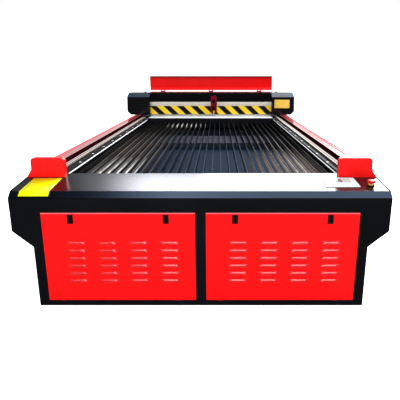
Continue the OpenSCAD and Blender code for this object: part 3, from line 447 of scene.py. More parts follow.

# %% [markdown]
# ## Bearing rails
# The rails are drawn dark, except the ground strip along their foot and the chamfers of the
# counterbores, which are drawn white: bright steel with its glint painted into the colour. Painting
# the bright parts on an unwrapped map would work too, but the rule is simple enough for the graph:
# the strip is told apart by height, the chamfers by their distance from the nearest screw.

# %% Rails with bright counterbores
RAIL_SCREWS, SCREW_HEAD_R, CHAMFER_R = 13, 5 * MM, 8 * MM
GROUND_STRIP = 3.3 * MM
GRIND_MM = 0.8
rail_low, rail_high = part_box("y_rails")
bore_low, bore_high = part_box("rail_screws")
first_y, last_y = bore_low[1] + SCREW_HEAD_R, bore_high[1] - SCREW_HEAD_R
bore_pitch = (last_y - first_y) / (RAIL_SCREWS - 1)
rail_metal, tree, shader, place = new_finish("ground_bearing_steel")
axes = add(tree, "SeparateXYZ", {"Vector": place}).outputs
side_x = add(tree, "Math", {0: axes["X"]}, operation="ABSOLUTE")
off_x = add(tree, "Math", {0: side_x.outputs[0], 1: bore_high[0] - SCREW_HEAD_R},
            operation="SUBTRACT")
steps = add(tree, "Math", {0: axes["Y"], 1: 1 / bore_pitch, 2: 0.5 - first_y / bore_pitch},
            operation="MULTIPLY_ADD")
wrapped = add(tree, "Math", {0: steps.outputs[0]}, operation="FRACT")
off_y = add(tree, "Math", {0: wrapped.outputs[0], 1: bore_pitch, 2: -0.5 * bore_pitch},
            operation="MULTIPLY_ADD")
off = add(tree, "CombineXYZ", {"X": off_x.outputs[0], "Y": off_y.outputs[0]})
reach = add(tree, "VectorMath", {0: off.outputs[0]}, operation="LENGTH")
at_bore = add(tree, "Math", {0: reach.outputs["Value"], 1: CHAMFER_R}, operation="LESS_THAN")
at_foot = add(tree, "Math", {0: axes["Z"], 1: rail_low[2] + GROUND_STRIP}, operation="LESS_THAN")
is_bright = add(tree, "Math", {0: at_bore.outputs[0], 1: at_foot.outputs[0]}, operation="MAXIMUM")
grind = drawn_lines(tree, place, (1, 0.03, 1), GRIND_MM, Detail=3.0)
dull = add(tree, "ValToRGB", {"Fac": grind},
           stops=noise_span(linear("#131213"), linear("#1E1D1E")))
# Painted glint: white on the ground strip and the chamfers of the bright steel
rail_mix = add(tree, "MixRGB", {"Fac": is_bright.outputs[0], "Color1": dull.outputs["Color"],
                                "Color2": linear("#FFFFFF")})
rail_bump = add(tree, "Bump", {"Height": grind, "Strength": 0.1, "Distance": LINE_DEPTH})
set_shader(shader, Base_Color=rail_mix.outputs["Color"], Normal=rail_bump.outputs["Normal"],
           Roughness=0.55, Specular_IOR_Level=0.02)
print("a rail screw every", round(bore_pitch / MM, 1), "mm")

# %% [markdown]
# ## Scorched slats
# The laser burns through the work and onto the slats, and smoke turns them brown-black. The colour
# follows the height: dark at the foot, painted shade between the slats; a brown-grey band; a dark
# line of painted shade under the top; and a light top edge, worn bare by the sheets that slide over
# it and painted as a highlight. Long streaks of resin along the slat break it up. Further back the
# slats are darker still: painted shade over the far half of the bed.

# %% Height, streaks and painted shade
STREAK_MM, WANDER = 9, 12 * MM
slat_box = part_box("blade_slats")
bed_front_y = slat_box[0][1]
slat_metal, tree, shader, place = new_finish("drawn_aluminium_scorched")
axes = add(tree, "SeparateXYZ", {"Vector": place}).outputs
streaks = drawn_lines(tree, place, (1, 0.03, 1), STREAK_MM, Detail=4.0, Roughness=0.6)
wander = add(tree, "Math", {0: streaks, 1: WANDER, 2: axes["Z"]}, operation="MULTIPLY_ADD")
height = add(tree, "MapRange", {"Value": wander.outputs[0],
                                "From Min": slat_box[0][2] + WANDER / 2,
                                "From Max": slat_box[1][2] + WANDER / 2}).outputs[0]
# Smoke by height, with painted shade at the foot and under the top, and a painted highlight on top
smoke_and_shade = add(tree, "ValToRGB", {"Fac": height}, stops=[
    (0.0, linear("#0B0908")), (0.3, linear("#2A2422")), (0.62, linear("#4C4240")),
    (0.74, linear("#070606")), (0.86, linear("#2A2624")), (1.0, linear("#857E76"))])
# Painted shade: the slats darken towards the back of the bed
far_shade = add(tree, "MapRange", {"Value": axes["Y"], "From Min": -0.6, "From Max": 0.3,
                              "To Min": 1.0, "To Max": 0.05})
slat_mix = add(tree, "MixRGB", {"Fac": 1.0, "Color1": smoke_and_shade.outputs["Color"],
                                "Color2": far_shade.outputs[0]}, blend_type="MULTIPLY")
resin = add(tree, "MapRange", {"Value": streaks, "From Min": 0.5, "From Max": 0.72,
                               "To Min": 0.0, "To Max": 0.5})
print("slats are", round((slat_box[1][2] - slat_box[0][2]) / MM, 1), "mm high")

# %% [markdown]
# ## Painted light and tints on the slats
# Some areas of the slats are drawn lighter as painted light: near-white painted highlights on the
# left, right and far slats, and a lighter brown painted reflection on the right. The middle is
# tinted dark blue. They could be painted by hand on a map. Here each is a soft window in X, in Y
# and in height, which keeps its size in metres when the bed changes.

# %% Where the patches lie


def window(tree, value, low, high, soft):
    rise = add(tree, "MapRange", {"Value": value, "From Min": low - soft, "From Max": low})
    fall = add(tree, "MapRange", {"Value": value, "From Min": high, "From Max": high + soft,
                                  "To Min": 1.0, "To Max": 0.0})
    return add(tree, "Math", {0: rise.outputs[0], 1: fall.outputs[0]},
               operation="MULTIPLY").outputs[0]


def patch(x_range, y_range, h_range, soft_x, soft_y, soft_h=0.08):
    over_bed = add(tree, "Math", {0: window(tree, axes["X"], *x_range, soft_x),
                                  1: window(tree, axes["Y"], *y_range, soft_y)},
                   operation="MULTIPLY")
    return add(tree, "Math", {0: over_bed.outputs[0],
                              1: window(tree, height, *h_range, soft_h)},
               operation="MULTIPLY").outputs[0]


# Windows for the painted highlights (left, right, far), the painted brown reflection and the blue
# tint
left_patch = patch((-0.64, -0.43), (bed_front_y, bed_front_y + 0.2), (0.5, 0.72), 0.05, 0.45)
right_patch = patch((0.56, 0.62), (bed_front_y, bed_front_y + 0.5), (0.5, 0.7), 0.06, 0.3)
far_patch = patch((-0.34, -0.16), (0.71, 0.79), (0.5, 1.0), 0.16, 0.11)
brown_patch = patch((0.36, 0.64), (bed_front_y, bed_front_y + 0.5), (0.0, 0.74), 0.12, 0.5)
blue_patch = patch((-0.26, 0.34), (bed_front_y, 0.1), (0.0, 1.0), 0.16, 0.25)
blue = add(tree, "Math", {0: blue_patch, 1: 0.85}, operation="MULTIPLY")
# Painted shade: the slats darken next to the track beams at both sides
side_x = add(tree, "Math", {0: axes["X"]}, operation="ABSOLUTE")
side_shade = add(tree, "MapRange", {"Value": side_x.outputs[0], "From Min": 0.665, "From Max": 0.7,
                                  "To Max": 0.9})
print("painted light from y =", round(bed_front_y, 3))

# %% Layers of the slat finish
GLINT_BREAKUP_MM = 70
# Painted highlights: near-white glints on the left, right and far slats, broken up by noise
far = add(tree, "Math", {0: far_patch, 1: 0.8}, operation="MULTIPLY")
painted_glints = add(tree, "Math", {0: left_patch, 1: far.outputs[0]}, operation="MAXIMUM")
painted_glints = add(tree, "Math", {0: painted_glints.outputs[0], 1: right_patch}, operation="MAXIMUM")
glint_breakup = add(tree, "TexNoise", {"Vector": place, "Scale": 1000 / GLINT_BREAKUP_MM, "Detail": 3.0})
glint_breakup = add(tree, "MapRange", {"Value": glint_breakup.outputs["Fac"], "From Min": 0.4, "From Max": 0.56,
                              "To Min": 0.45})
painted_glints = add(tree, "Math", {0: painted_glints.outputs[0], 1: glint_breakup.outputs[0]}, operation="MULTIPLY")
layers = [(resin.outputs[0], "#3B3532"), (blue.outputs[0], "#131B27"),
          (side_shade.outputs[0], "#060506"), (brown_patch, "#B5A499"),
          (painted_glints.outputs[0], "#FFFAF5")]
for amount, hex_colour in layers:
    slat_mix = add(tree, "MixRGB", {"Fac": amount, "Color1": slat_mix.outputs["Color"],
                                    "Color2": linear(hex_colour)})
slat_bump = add(tree, "Bump", {"Height": streaks, "Strength": 0.3, "Distance": 0.5 * MM})
set_shader(shader, Base_Color=slat_mix.outputs["Color"], Normal=slat_bump.outputs["Normal"],
           Metallic=0.0, Roughness=0.45, Specular_IOR_Level=0.03)
print("layers on the slats:", len(layers))

# %% [markdown]
# ## Track beams
# The beam under each rail is sprayed black, but the pad that the rail stands on is milled after the
# paint. Its inner edge is drawn near-white: bright milled metal with its highlight painted into the
# colour. A second material on the pad's faces would need the mesh to be cut there. Height and
# distance from the middle tell the two apart without a cut.

# %% Painted beam with a milled pad
PAD_DEPTH, PAD_INSIDE = 1.5 * MM, 10 * MM
MILL_LINES_MM = 1.5
track_coat, tree, shader, place = new_finish("black_coat_with_milled_pad")
axes = add(tree, "SeparateXYZ", {"Vector": place}).outputs
side_x = add(tree, "Math", {0: axes["X"]}, operation="ABSOLUTE")
is_high = add(tree, "Math", {0: axes["Z"], 1: rail_low[2] - PAD_DEPTH}, operation="GREATER_THAN")
is_near = add(tree, "Math", {0: side_x.outputs[0], 1: rail_high[0] - PAD_INSIDE},
              operation="LESS_THAN")
is_pad = add(tree, "Math", {0: is_high.outputs[0], 1: is_near.outputs[0]}, operation="MULTIPLY")
mill_lines = drawn_lines(tree, place, (1, 0.05, 1), MILL_LINES_MM, Detail=3.0)
milled = add(tree, "ValToRGB", {"Fac": mill_lines},
             stops=[(0.3, linear("#E4E6E8")), (0.6, linear("#FFFFFF"))])
# Painted highlight: the milled pad is near-white along its inner edge
track_mix = add(tree, "MixRGB", {"Fac": is_pad.outputs[0], "Color1": linear("#06070B"),
                                 "Color2": milled.outputs["Color"]})
track_bump = add(tree, "Bump", {"Height": mill_lines, "Strength": 0.1, "Distance": LINE_DEPTH})
set_shader(shader, Base_Color=track_mix.outputs["Color"], Normal=track_bump.outputs["Normal"],
           Roughness=0.42, Specular_IOR_Level=0.02)
print("milled above z =", round(rail_low[2] - PAD_DEPTH, 4))

# %% [markdown]
# ## Moulded plastics and rubber
# Latches, keys and buttons are injection moulded. The mould is spark eroded, which leaves a fine
# pebbled skin that spreads the light. Noise would look cloudy; the cells of a Voronoi texture look
# like pebbles. A slow noise under them keeps the colour from being dead flat.

# %% Moulded plastics and rubber
CLOUD_MM, PEBBLE_DEPTH = 40, 0.2 * MM


def moulded(name, hex_colour, roughness, grain_mm=1.2, bump_by=0.15, specular=0.5):
    material, tree, shader, place = new_finish(name)
    grain = add(tree, "TexVoronoi", {"Vector": place, "Scale": 1000 / grain_mm})
    slow = add(tree, "TexNoise", {"Vector": place, "Scale": 1000 / CLOUD_MM, "Detail": 2.0})
    colour = linear(hex_colour)
    base = add(tree, "ValToRGB", {"Fac": slow.outputs["Fac"]},
               stops=noise_span(toned(colour, 0.86), colour))
    bump = add(tree, "Bump", {"Height": grain.outputs["Distance"], "Strength": bump_by,
                              "Distance": PEBBLE_DEPTH})
    set_shader(shader, Base_Color=base.outputs["Color"], Normal=bump.outputs["Normal"],
               Roughness=roughness, Specular_IOR_Level=specular)
    return material


# Nylon, rubber and silicone: dull skins that only lighten a little towards the lamps
latch_plastic = moulded("moulded_nylon_black", "#050507", 0.45, specular=0.15)
black_rubber = moulded("moulded_rubber_black", "#141414", 0.8, grain_mm=2, specular=0.2)
key_rubber = moulded("silicone_keys_grey", "#B0B6AC", 0.55)
# ABS and acetal: brighter colours with a soft gloss
red_plastic = moulded("moulded_abs_red", "#E0141E", 0.3, specular=0.12)
yellow_plastic = moulded("moulded_abs_yellow", "#F0A63A", 0.35)
cradle_plastic = moulded("machined_acetal_white", "#E4E6E6", 0.4)
bezel_plastic = moulded("moulded_abs_bezel", "#2A2C30", 0.4)
# Acrylic window: smooth and tinted, it mirrors the room
screen_plastic = moulded("tinted_acrylic_window", "#927780", 0.12, bump_by=0.02)
# Vinyl films: flat, strong colour that hardly shows its grain
label_film = moulded("vinyl_film_yellow", "#FFFF00", 0.35, grain_mm=4, bump_by=0.03,
                     specular=0.12)
golden_film = moulded("vinyl_film_golden", "#E9BE3A", 0.35, grain_mm=4, bump_by=0.03)

# %% [markdown]
# ## Belt
# The belts are cast polyurethane over steel cords: cream, dull, with lines where the cords lie.
# The cords of a real belt lie 1 to 2 mm apart, which is too fine to show, so they are drawn ten
# times as coarse. They could be modelled, but a sine across the belt is enough for lines in its
# skin.

# %% Belt with its steel cords
CORD_PITCH_MM = 20.0
belt_cast, tree, shader, place = new_finish("cast_polyurethane_belt")
across = add(tree, "SeparateXYZ", {"Vector": place})
cords = add(tree, "Math", {0: across.outputs["X"], 1: 2 * math.pi * 1000 / CORD_PITCH_MM},
            operation="MULTIPLY")
wave = add(tree, "Math", {0: cords.outputs[0]}, operation="SINE")
lifted = add(tree, "MapRange", {"Value": wave.outputs[0], "From Min": -1.0})
belt_tone = add(tree, "ValToRGB", {"Fac": lifted.outputs[0]},
                stops=[(0.2, linear("#40362F")), (0.6, linear("#C6B9B1"))])
cord_bump = add(tree, "Bump", {"Height": wave.outputs[0], "Strength": 0.3,
                               "Distance": 0.4 * MM})
set_shader(shader, Base_Color=belt_tone.outputs["Color"], Normal=cord_bump.outputs["Normal"],
           Roughness=0.7, Specular_IOR_Level=0.03)

# %% [markdown]
# ## Laser tube
# The tube is clear borosilicate glass, drawn from a melt, so its wall is very slightly wavy. The
# transmission of the shader bends light by the glass's own index, 1.47. Plain transparency would
# be quicker but would lose the bright edges that make glass look like glass.

# %% Glass of the laser tube
MELT_WAVE_MM = 60
tube_glass, tree, shader, place = new_finish("borosilicate_glass")
glass_wave = add(tree, "TexNoise", {"Vector": place, "Scale": 1000 / MELT_WAVE_MM, "Detail": 1.0})
glass_bump = add(tree, "Bump", {"Height": glass_wave.outputs["Fac"], "Strength": 0.05,
                                "Distance": 1 * MM})
set_shader(shader, Normal=glass_bump.outputs["Normal"], Base_Color=linear("#DDEFF4"),
           Roughness=0.04, IOR=1.47, Transmission_Weight=0.9)

# %% [markdown]
# ## Hazard stripes
# The panel across the gantry is painted yellow and masked with slanted black bars. Cut films on top
# would be the other way, but their edges would peel in the heat. The pattern is worked out from the
# panel's own X and Z: a saw-tooth over one pair of bars, cut at half. A little noise moves the cut,
# as paint creeps under masking tape.

# %% Striped paint
STRIPE_PITCH_MM = 171
STRIPE_LEAN = 1.05
STRIPE_SHIFT_MM = 114
CREEP_GRAIN_MM, CREEP = 12, 1.5 * MM
striped, tree, shader, place = new_finish("masked_stripe_paint")
axes = add(tree, "SeparateXYZ", {"Vector": place}).outputs
shifted = add(tree, "Math", {0: axes["X"], 1: STRIPE_SHIFT_MM * MM}, operation="ADD")
leaned = add(tree, "Math", {0: axes["Z"], 1: STRIPE_LEAN, 2: shifted.outputs[0]},
             operation="MULTIPLY_ADD")
creep = add(tree, "TexNoise", {"Vector": place, "Scale": 1000 / CREEP_GRAIN_MM, "Detail": 2.0})
edge = add(tree, "Math", {0: creep.outputs["Fac"], 1: CREEP, 2: leaned.outputs[0]},
           operation="MULTIPLY_ADD")
turns = add(tree, "Math", {0: edge.outputs[0], 1: 1000 / STRIPE_PITCH_MM}, operation="MULTIPLY")
saw = add(tree, "Math", {0: turns.outputs[0]}, operation="FRACT")
bars = add(tree, "Math", {0: saw.outputs[0], 1: 0.5}, operation="GREATER_THAN")
stripe_mix = add(tree, "MixRGB", {"Fac": bars.outputs[0], "Color1": linear("#080706"),
                                  "Color2": linear("#EEC926")})
set_shader(shader, Base_Color=stripe_mix.outputs["Color"], Normal=orange_peel(tree, place, 0.1),
           Roughness=0.3, Specular_IOR_Level=0.1)
print("a bar every", STRIPE_PITCH_MM, "mm")

# %% [markdown]
# ## Lens unit
# The tube that holds the lens is turned aluminium, anodised maroon, and the nozzle under it is
# brass. Both are one construction piece, so two materials would mean cutting it. The finish changes
# by height instead: the nozzle's length is counted up from the lowest point of the piece.

# %% Two metals by height
NOZZLE_L = 60 * MM
TURNING_MM = 1.0
nozzle_top_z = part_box("lens_unit")[0][2] + NOZZLE_L
lens_metal, tree, shader, place = new_finish("turned_aluminium_and_brass")
axes = add(tree, "SeparateXYZ", {"Vector": place}).outputs
is_tube = add(tree, "Math", {0: axes["Z"], 1: nozzle_top_z}, operation="GREATER_THAN")
rings = drawn_lines(tree, place, (0.05, 0.05, 1), TURNING_MM, Detail=3.0)
lens_mix = add(tree, "MixRGB", {"Fac": is_tube.outputs[0], "Color1": linear("#D6A650"),
                                "Color2": linear("#3E0F16")})
ring_bump = add(tree, "Bump", {"Height": rings, "Strength": 0.15, "Distance": LINE_DEPTH})
set_shader(shader, Base_Color=lens_mix.outputs["Color"], Normal=ring_bump.outputs["Normal"],
           Metallic=1.0, Roughness=0.26)
print("brass up to z =", round(nozzle_top_z, 4))

# %% [markdown]
# ## Rear deck with painted shade
# The front of the deck behind the bed is white on top. Its folded front edge and the part under the
# gantry are drawn black: painted shade on the fold and a painted shadow under the gantry. It could
# be two sheets, but it is folded from one. One coat that changes colour at a height and at a
# distance is enough.

# %% Coat that changes at a height
FOLDED_EDGE, UNDER_GANTRY, TOP_SKIN = 34 * MM, 120 * MM, 1.5 * MM
deck_low, deck_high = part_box("rear_deck")
white_y0, white_y1 = deck_low[1] + FOLDED_EDGE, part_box("gantry_beam")[0][1] + UNDER_GANTRY
white_coat_painted_shade, tree, shader, place = new_finish("powder_coat_white_with_painted_shade")
axes = add(tree, "SeparateXYZ", {"Vector": place}).outputs
is_high = add(tree, "Math", {0: axes["Z"], 1: deck_high[2] - TOP_SKIN}, operation="GREATER_THAN")
is_front = add(tree, "Math", {0: axes["Y"], 1: (white_y0 + white_y1) / 2,
                              2: (white_y1 - white_y0) / 2}, operation="COMPARE")
is_top = add(tree, "Math", {0: is_high.outputs[0], 1: is_front.outputs[0]}, operation="MULTIPLY")
slow = add(tree, "TexNoise", {"Vector": place, "Scale": 1000 / SLOW_TONE_MM})
white_tone = add(tree, "ValToRGB", {"Fac": slow.outputs["Fac"]},
                 stops=noise_span(linear("#DDE1E4"), linear("#EEF1F3")))
# Black on the fold and under the gantry: painted shade and painted shadow on the white deck
deck_mix = add(tree, "MixRGB", {"Fac": is_top.outputs[0], "Color1": linear("#0A0B0F"),
                                "Color2": white_tone.outputs["Color"]})
set_shader(shader, Base_Color=deck_mix.outputs["Color"], Normal=orange_peel(tree, place, 0.1),
           Roughness=0.42, Specular_IOR_Level=0.06)
print("white from y =", round(white_y0, 3), "to", round(white_y1, 3))

# %% [markdown]
# ## Finishes on the construction pieces
# Each carried-over piece keeps its mesh, so the model stays as exact as it was built, and gets its
# real finish in its material slots. One table says which finish goes on which piece. It is easier
# to check than a line for each piece.

# %% Which piece has which finish
finish_of = {
    black_coat: ["front_panel", "side_panels", "rear_panel"],
    track_coat: ["rail_beams"],
    frame_coat: ["base_frame", "slat_combs", "door_hinges", "lid_hinges"],
    chute_coat: ["chute_rear"],
    gloss_black: ["console_deck"],
    cap_black: ["end_cap_l", "end_cap_r"],
    housing_black: ["tube_housing"],
    cover_coat: ["side_cover_l", "side_cover_r"],
    guard_coat: ["end_guard_l", "end_guard_r"],
    lid_coat: ["tube_lid"],
    white_coat_painted_shade: ["rear_deck"],
    panel_coat: ["control_panel"],
    blue_grey_coat: ["chute_front"],
    dark_grey_coat: ["cross_support"],
    striped: ["stripe_panel"],
    beam_metal: ["gantry_beam"],
    channel_metal: ["belt_channels"],
    x_rail_metal: ["x_rail"],
    rail_metal: ["y_rails"],
    screw_metal: ["rail_screws"],
    slat_metal: ["blade_slats"],
    turned_metal: ["idler_pulley_l", "idler_pulley_r", "drive_pulley_l", "drive_pulley_r",
                   "x_drive_pulley", "x_idler_pulley", "y_carriages"],
    lens_metal: ["lens_unit"],
    zinc_metal: ["equipment_shelf", "duct_spigots"],
    zinc_grey_coat: ["laser_supply", "controller_box"],
    maroon_metal: ["head_carriage", "mirror_mount", "beam_mirrors"],
    latch_plastic: ["latch_paddle_l1", "latch_paddle_l2", "latch_paddle_r1", "latch_paddle_r2",
                    "mains_inlet"],
    red_plastic: ["estop_button"],
    yellow_plastic: ["estop_base"],
    belt_cast: ["y_belts"],
    black_rubber: ["x_belt", "levelling_feet"],
    tube_glass: ["laser_tube"],
    cradle_plastic: ["tube_cradles"],
    motor_enamel: ["y_motors", "x_motor"],
}
finished = set()
for finish, names in finish_of.items():
    for name in names:
        for place_in_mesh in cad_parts[name].material_slots:
            place_in_mesh.material = finish
        finished.add(name)
print("left for new pieces:", sorted(set(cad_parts) - finished))

# %% [markdown]
# ## Places and pieces
# Positions are read off the frame, never typed in twice. The front face of the body is the natural
# zero for a machine this long, so one helper turns a distance behind that face into the row's own
# Y. Another helper turns a finished bmesh into an object that rides on a body. The object could be
# moved into place, but patterns would slide with it: its place stays in the mesh and the object
# sits at the origin.

# %% Helpers for places and pieces
front_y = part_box("front_panel")[0][1]
DOOR_BODY = {"l": "door_left", "r": "door_right"}


def behind(mm):
    return front_y + mm * MM


def piece(bm, name, finish, body, smooth=None):
    bmesh.ops.remove_doubles(bm, verts=bm.verts, dist=1e-6)
    mesh = bpy.data.meshes.new(name)
    bm.to_mesh(mesh)
    bm.free()
    made = bpy.data.objects.new(name, mesh)
    bpy.context.collection.objects.link(made)
    mesh.materials.append(finish)
    if smooth:
        mesh.shade_smooth()
        mesh.set_sharp_from_angle(angle=math.radians(smooth))
    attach(made, body)
    print(name, len(mesh.polygons), "faces on", body)
    return made


def give_gauge(made, thickness, offset=-1):
    gauge = made.modifiers.new("gauge", "SOLIDIFY")
    gauge.thickness, gauge.offset = thickness, offset


print("front face at y =", round(front_y, 4))

# %% [markdown]
# ## Doors with pressed louvres
# Each door is one sheet: a press slits it and pushes a hood out over each slit, then the rim is
# folded back. Cutting the slits with booleans would leave long thin triangles. A flat grid is cut
# along the lines of the slits instead, the slit faces are taken out, and the rim is extruded back
# and rounded. Solidify then gives the whole sheet its gauge.

# %% Door sizes
SHEET = 1.5 * MM
DOOR_RIM, FOLD_R = 18 * MM, 2 * MM
DOOR_OUT_MM = 2
LOUVRE_W, LOUVRE_H, LOUVRE_OUT = 96 * MM, 18 * MM, 4.8 * MM
LOUVRE_COLS, LOUVRE_ROWS = 4, 6
LOUVRE_PITCH_X, LOUVRE_PITCH_Z = 158 * MM, 42 * MM
LOUVRE_SHIFT, LOUVRE_DROP = 16 * MM, 154 * MM
SLIT_SIDE, SLIT_FOOT, SLIT_HEAD = 2 * MM, 1 * MM, 4 * MM
LATCH_X, LATCH_W, LATCH_H, LATCH_DROP = 239 * MM, 23 * MM, 42 * MM, 33 * MM
HINGE_X, HINGE_L, HINGE_R = 300 * MM, 25 * MM, 3.3 * MM
HINGE_CLEAR = 3.2 * MM


def louvre_centres(mid_x, top_z):
    for column in range(LOUVRE_COLS):
        for row in range(LOUVRE_ROWS):
            yield (mid_x + LOUVRE_SHIFT + (column - (LOUVRE_COLS - 1) / 2) * LOUVRE_PITCH_X,
                   top_z - LOUVRE_DROP - row * LOUVRE_PITCH_Z)


def cut_lines(bm, values, axis):
    normal = Vector((0, 0, 0))
    normal[axis] = 1
    for value in values:
        bmesh.ops.bisect_plane(bm, geom=bm.verts[:] + bm.edges[:] + bm.faces[:],
                               plane_co=normal * value, plane_no=normal)


print("louvres on each door:", LOUVRE_COLS * LOUVRE_ROWS)

# %% Door sheets
door_front_y = behind(-DOOR_OUT_MM)


def door_sheet(side):
    low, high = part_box("door_" + side)
    bottom = low[2] + HINGE_R + HINGE_CLEAR
    mid_x, top = (low[0] + high[0]) / 2, high[2]
    slits = [(x - LOUVRE_W / 2 + SLIT_SIDE, x + LOUVRE_W / 2 - SLIT_SIDE,
              z - LOUVRE_H + SLIT_FOOT, z - SLIT_HEAD) for x, z in louvre_centres(mid_x, top)]
    holes = [(x - LATCH_W / 2, x + LATCH_W / 2, top - LATCH_DROP - LATCH_H / 2,
              top - LATCH_DROP + LATCH_H / 2) for x in (mid_x - LATCH_X, mid_x + LATCH_X)]
    bm = bmesh.new()
    corners = bmesh.ops.create_grid(bm, x_segments=1, y_segments=1, size=0.5)["verts"]
    bmesh.ops.scale(bm, vec=(high[0] - low[0], top - bottom, 1), verts=corners)
    bmesh.ops.rotate(bm, matrix=Matrix.Rotation(math.radians(90), 3, "X"), verts=corners)
    bmesh.ops.translate(bm, vec=(mid_x, door_front_y, (top + bottom) / 2), verts=corners)
    cut_lines(bm, sorted({round(v, 6) for s in slits + holes for v in s[:2]}), 0)
    cut_lines(bm, sorted({round(v, 6) for s in slits + holes for v in s[2:]}), 2)
    gone = []
    for f in bm.faces:
        c = f.calc_center_median()
        if any(a < c.x < b and p < c.z < q for a, b, p, q in slits + holes):
            gone.append(f)
    bmesh.ops.delete(bm, geom=gone, context="FACES_KEEP_BOUNDARY")

    def on_rim(v):
        return (min(v.co.x - low[0], high[0] - v.co.x) < 1e-5
                or min(v.co.z - bottom, top - v.co.z) < 1e-5)

    rim = [e for e in bm.edges if e.is_boundary and all(on_rim(v) for v in e.verts)]
    folded = bmesh.ops.extrude_edge_only(bm, edges=rim)["geom"]
    bmesh.ops.translate(bm, vec=(0, DOOR_RIM - 0.5 * MM, 0),
                        verts=[g for g in folded if isinstance(g, bmesh.types.BMVert)])
    bm.normal_update()
    fold = [e for e in bm.edges if len(e.link_faces) == 2
            and e.link_faces[0].normal.angle(e.link_faces[1].normal, 0) > 1]
    bmesh.ops.bevel(bm, geom=fold, offset=FOLD_R, segments=3, profile=0.5, affect="EDGES",
                    material=-1)
    made = piece(bm, "door_sheet_" + side, door_coat, DOOR_BODY[side], smooth=40)
    give_gauge(made, SHEET)
    flat_faces = made.modifiers.new("flat_faces", "WEIGHTED_NORMAL")
    flat_faces.keep_sharp = True
    return made, mid_x, bottom, top


doors = {}
for side in ("l", "r"):
    sheet, mid_x, bottom, top = door_sheet(side)
    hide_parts("door_" + side)
    doors[side] = (mid_x, bottom, top)

# %% [markdown]
# ## Louvre hoods
# The press stretches the metal over each slit into a hood: straight along the top, swelling quickly
# to its full depth, with closed, rounded ends that droop. Half a cylinder would be the quick way,
# but its ends are wrong. A small grid is pushed out by a smooth curve and follows the real shape.

# %% Louvre hoods
HOOD_GRID = (28, 10)
HOOD_SWELL = 0.36
END_SHARPNESS = 14
DROOP, DROOP_START, DROOP_POWER = 0.7, 0.6, 1.5
HOOD_OFF_SHEET = 0.1 * MM


def pressed_hood(bm, mid_x, top_z):
    grid = bmesh.ops.create_grid(bm, x_segments=HOOD_GRID[0], y_segments=HOOD_GRID[1], size=0.5)
    for v in grid["verts"]:
        across, down = v.co.x * 2, 0.5 - v.co.y
        ends = max(0.0, 1 - abs(across) ** END_SHARPNESS) ** 0.5
        past = max(0.0, (abs(across) - DROOP_START) / (1 - DROOP_START))
        swell = min(1.0, max(0.0, down - DROOP * past ** DROOP_POWER) / HOOD_SWELL)
        v.co = Vector((mid_x + across * LOUVRE_W / 2,
                       door_front_y - HOOD_OFF_SHEET - LOUVRE_OUT * ends * swell,
                       top_z - down * LOUVRE_H))


for side, (mid_x, bottom, top) in doors.items():
    bm = bmesh.new()
    for x, z in louvre_centres(mid_x, top):
        pressed_hood(bm, x, z)
    hoods = piece(bm, "louvre_hoods_" + side, hood_coat, DOOR_BODY[side], smooth=60)
    give_gauge(hoods, SHEET)

# %% [markdown]
# ## Hinge leaves and latch frames
# The door half of each weld-on hinge is a short barrel on a leaf. Round each latch sits a moulded
# frame with a rounded outline, and its side walls line the hole. A block with a smaller block's
# hole would need a boolean. Four rounded bars are quicker to build and keep clean edges.

# %% Bars and blocks


def block(bm, low, high, edge=0.0, segments=2):
    low, high = Vector(low), Vector(high)
    corners = bmesh.ops.create_cube(bm, size=1)["verts"]
    bmesh.ops.scale(bm, vec=high - low, verts=corners)
    bmesh.ops.translate(bm, vec=(low + high) / 2, verts=corners)
    if edge:
        bmesh.ops.bevel(bm, geom=list({e for v in corners for e in v.link_edges}), offset=edge,
                        segments=segments, profile=0.5, affect="EDGES", material=-1)


def rod(bm, start, end, radius, sides):
    start, end = Vector(start), Vector(end)
    run = end - start
    turn = run.to_track_quat("Z", "Y").to_matrix().to_4x4()
    bmesh.ops.create_cone(bm, cap_ends=True, segments=sides, radius1=radius, radius2=radius,
                          depth=run.length, matrix=Matrix.Translation((start + end) / 2) @ turn)


# %% Hinge barrels and leaves
HINGE_GAP, HINGE_OUT_MM = 0.4 * MM, 4
LEAF_OUT_MM, LEAF_H = 3.6, 24 * MM


def hinge_halves(side, mid_x, bottom):
    axis_z = bottom - HINGE_CLEAR
    ends = [(x - HINGE_L - HINGE_GAP, x - HINGE_GAP) for x in (mid_x - HINGE_X, mid_x + HINGE_X)]
    bm = bmesh.new()
    for x0, x1 in ends:
        rod(bm, (x0, behind(-HINGE_OUT_MM), axis_z), (x1, behind(-HINGE_OUT_MM), axis_z),
            HINGE_R, sides=24)
    piece(bm, "door_hinge_barrels_" + side, frame_coat, DOOR_BODY[side], smooth=40)
    bm = bmesh.new()
    for x0, x1 in ends:
        block(bm, (x0, behind(-LEAF_OUT_MM), axis_z),
              (x1, behind(-DOOR_OUT_MM), axis_z + LEAF_H), 0.4 * MM)
    piece(bm, "door_hinge_leaves_" + side, red_coat, DOOR_BODY[side], smooth=40)


# %% Latch frames
FRAME_W, WALL_T = 3 * MM, 1.2 * MM
FRAME_OUT_MM, FRAME_BACK_MM = 4.4, 1.9
WALL_DEPTH_MM = 14


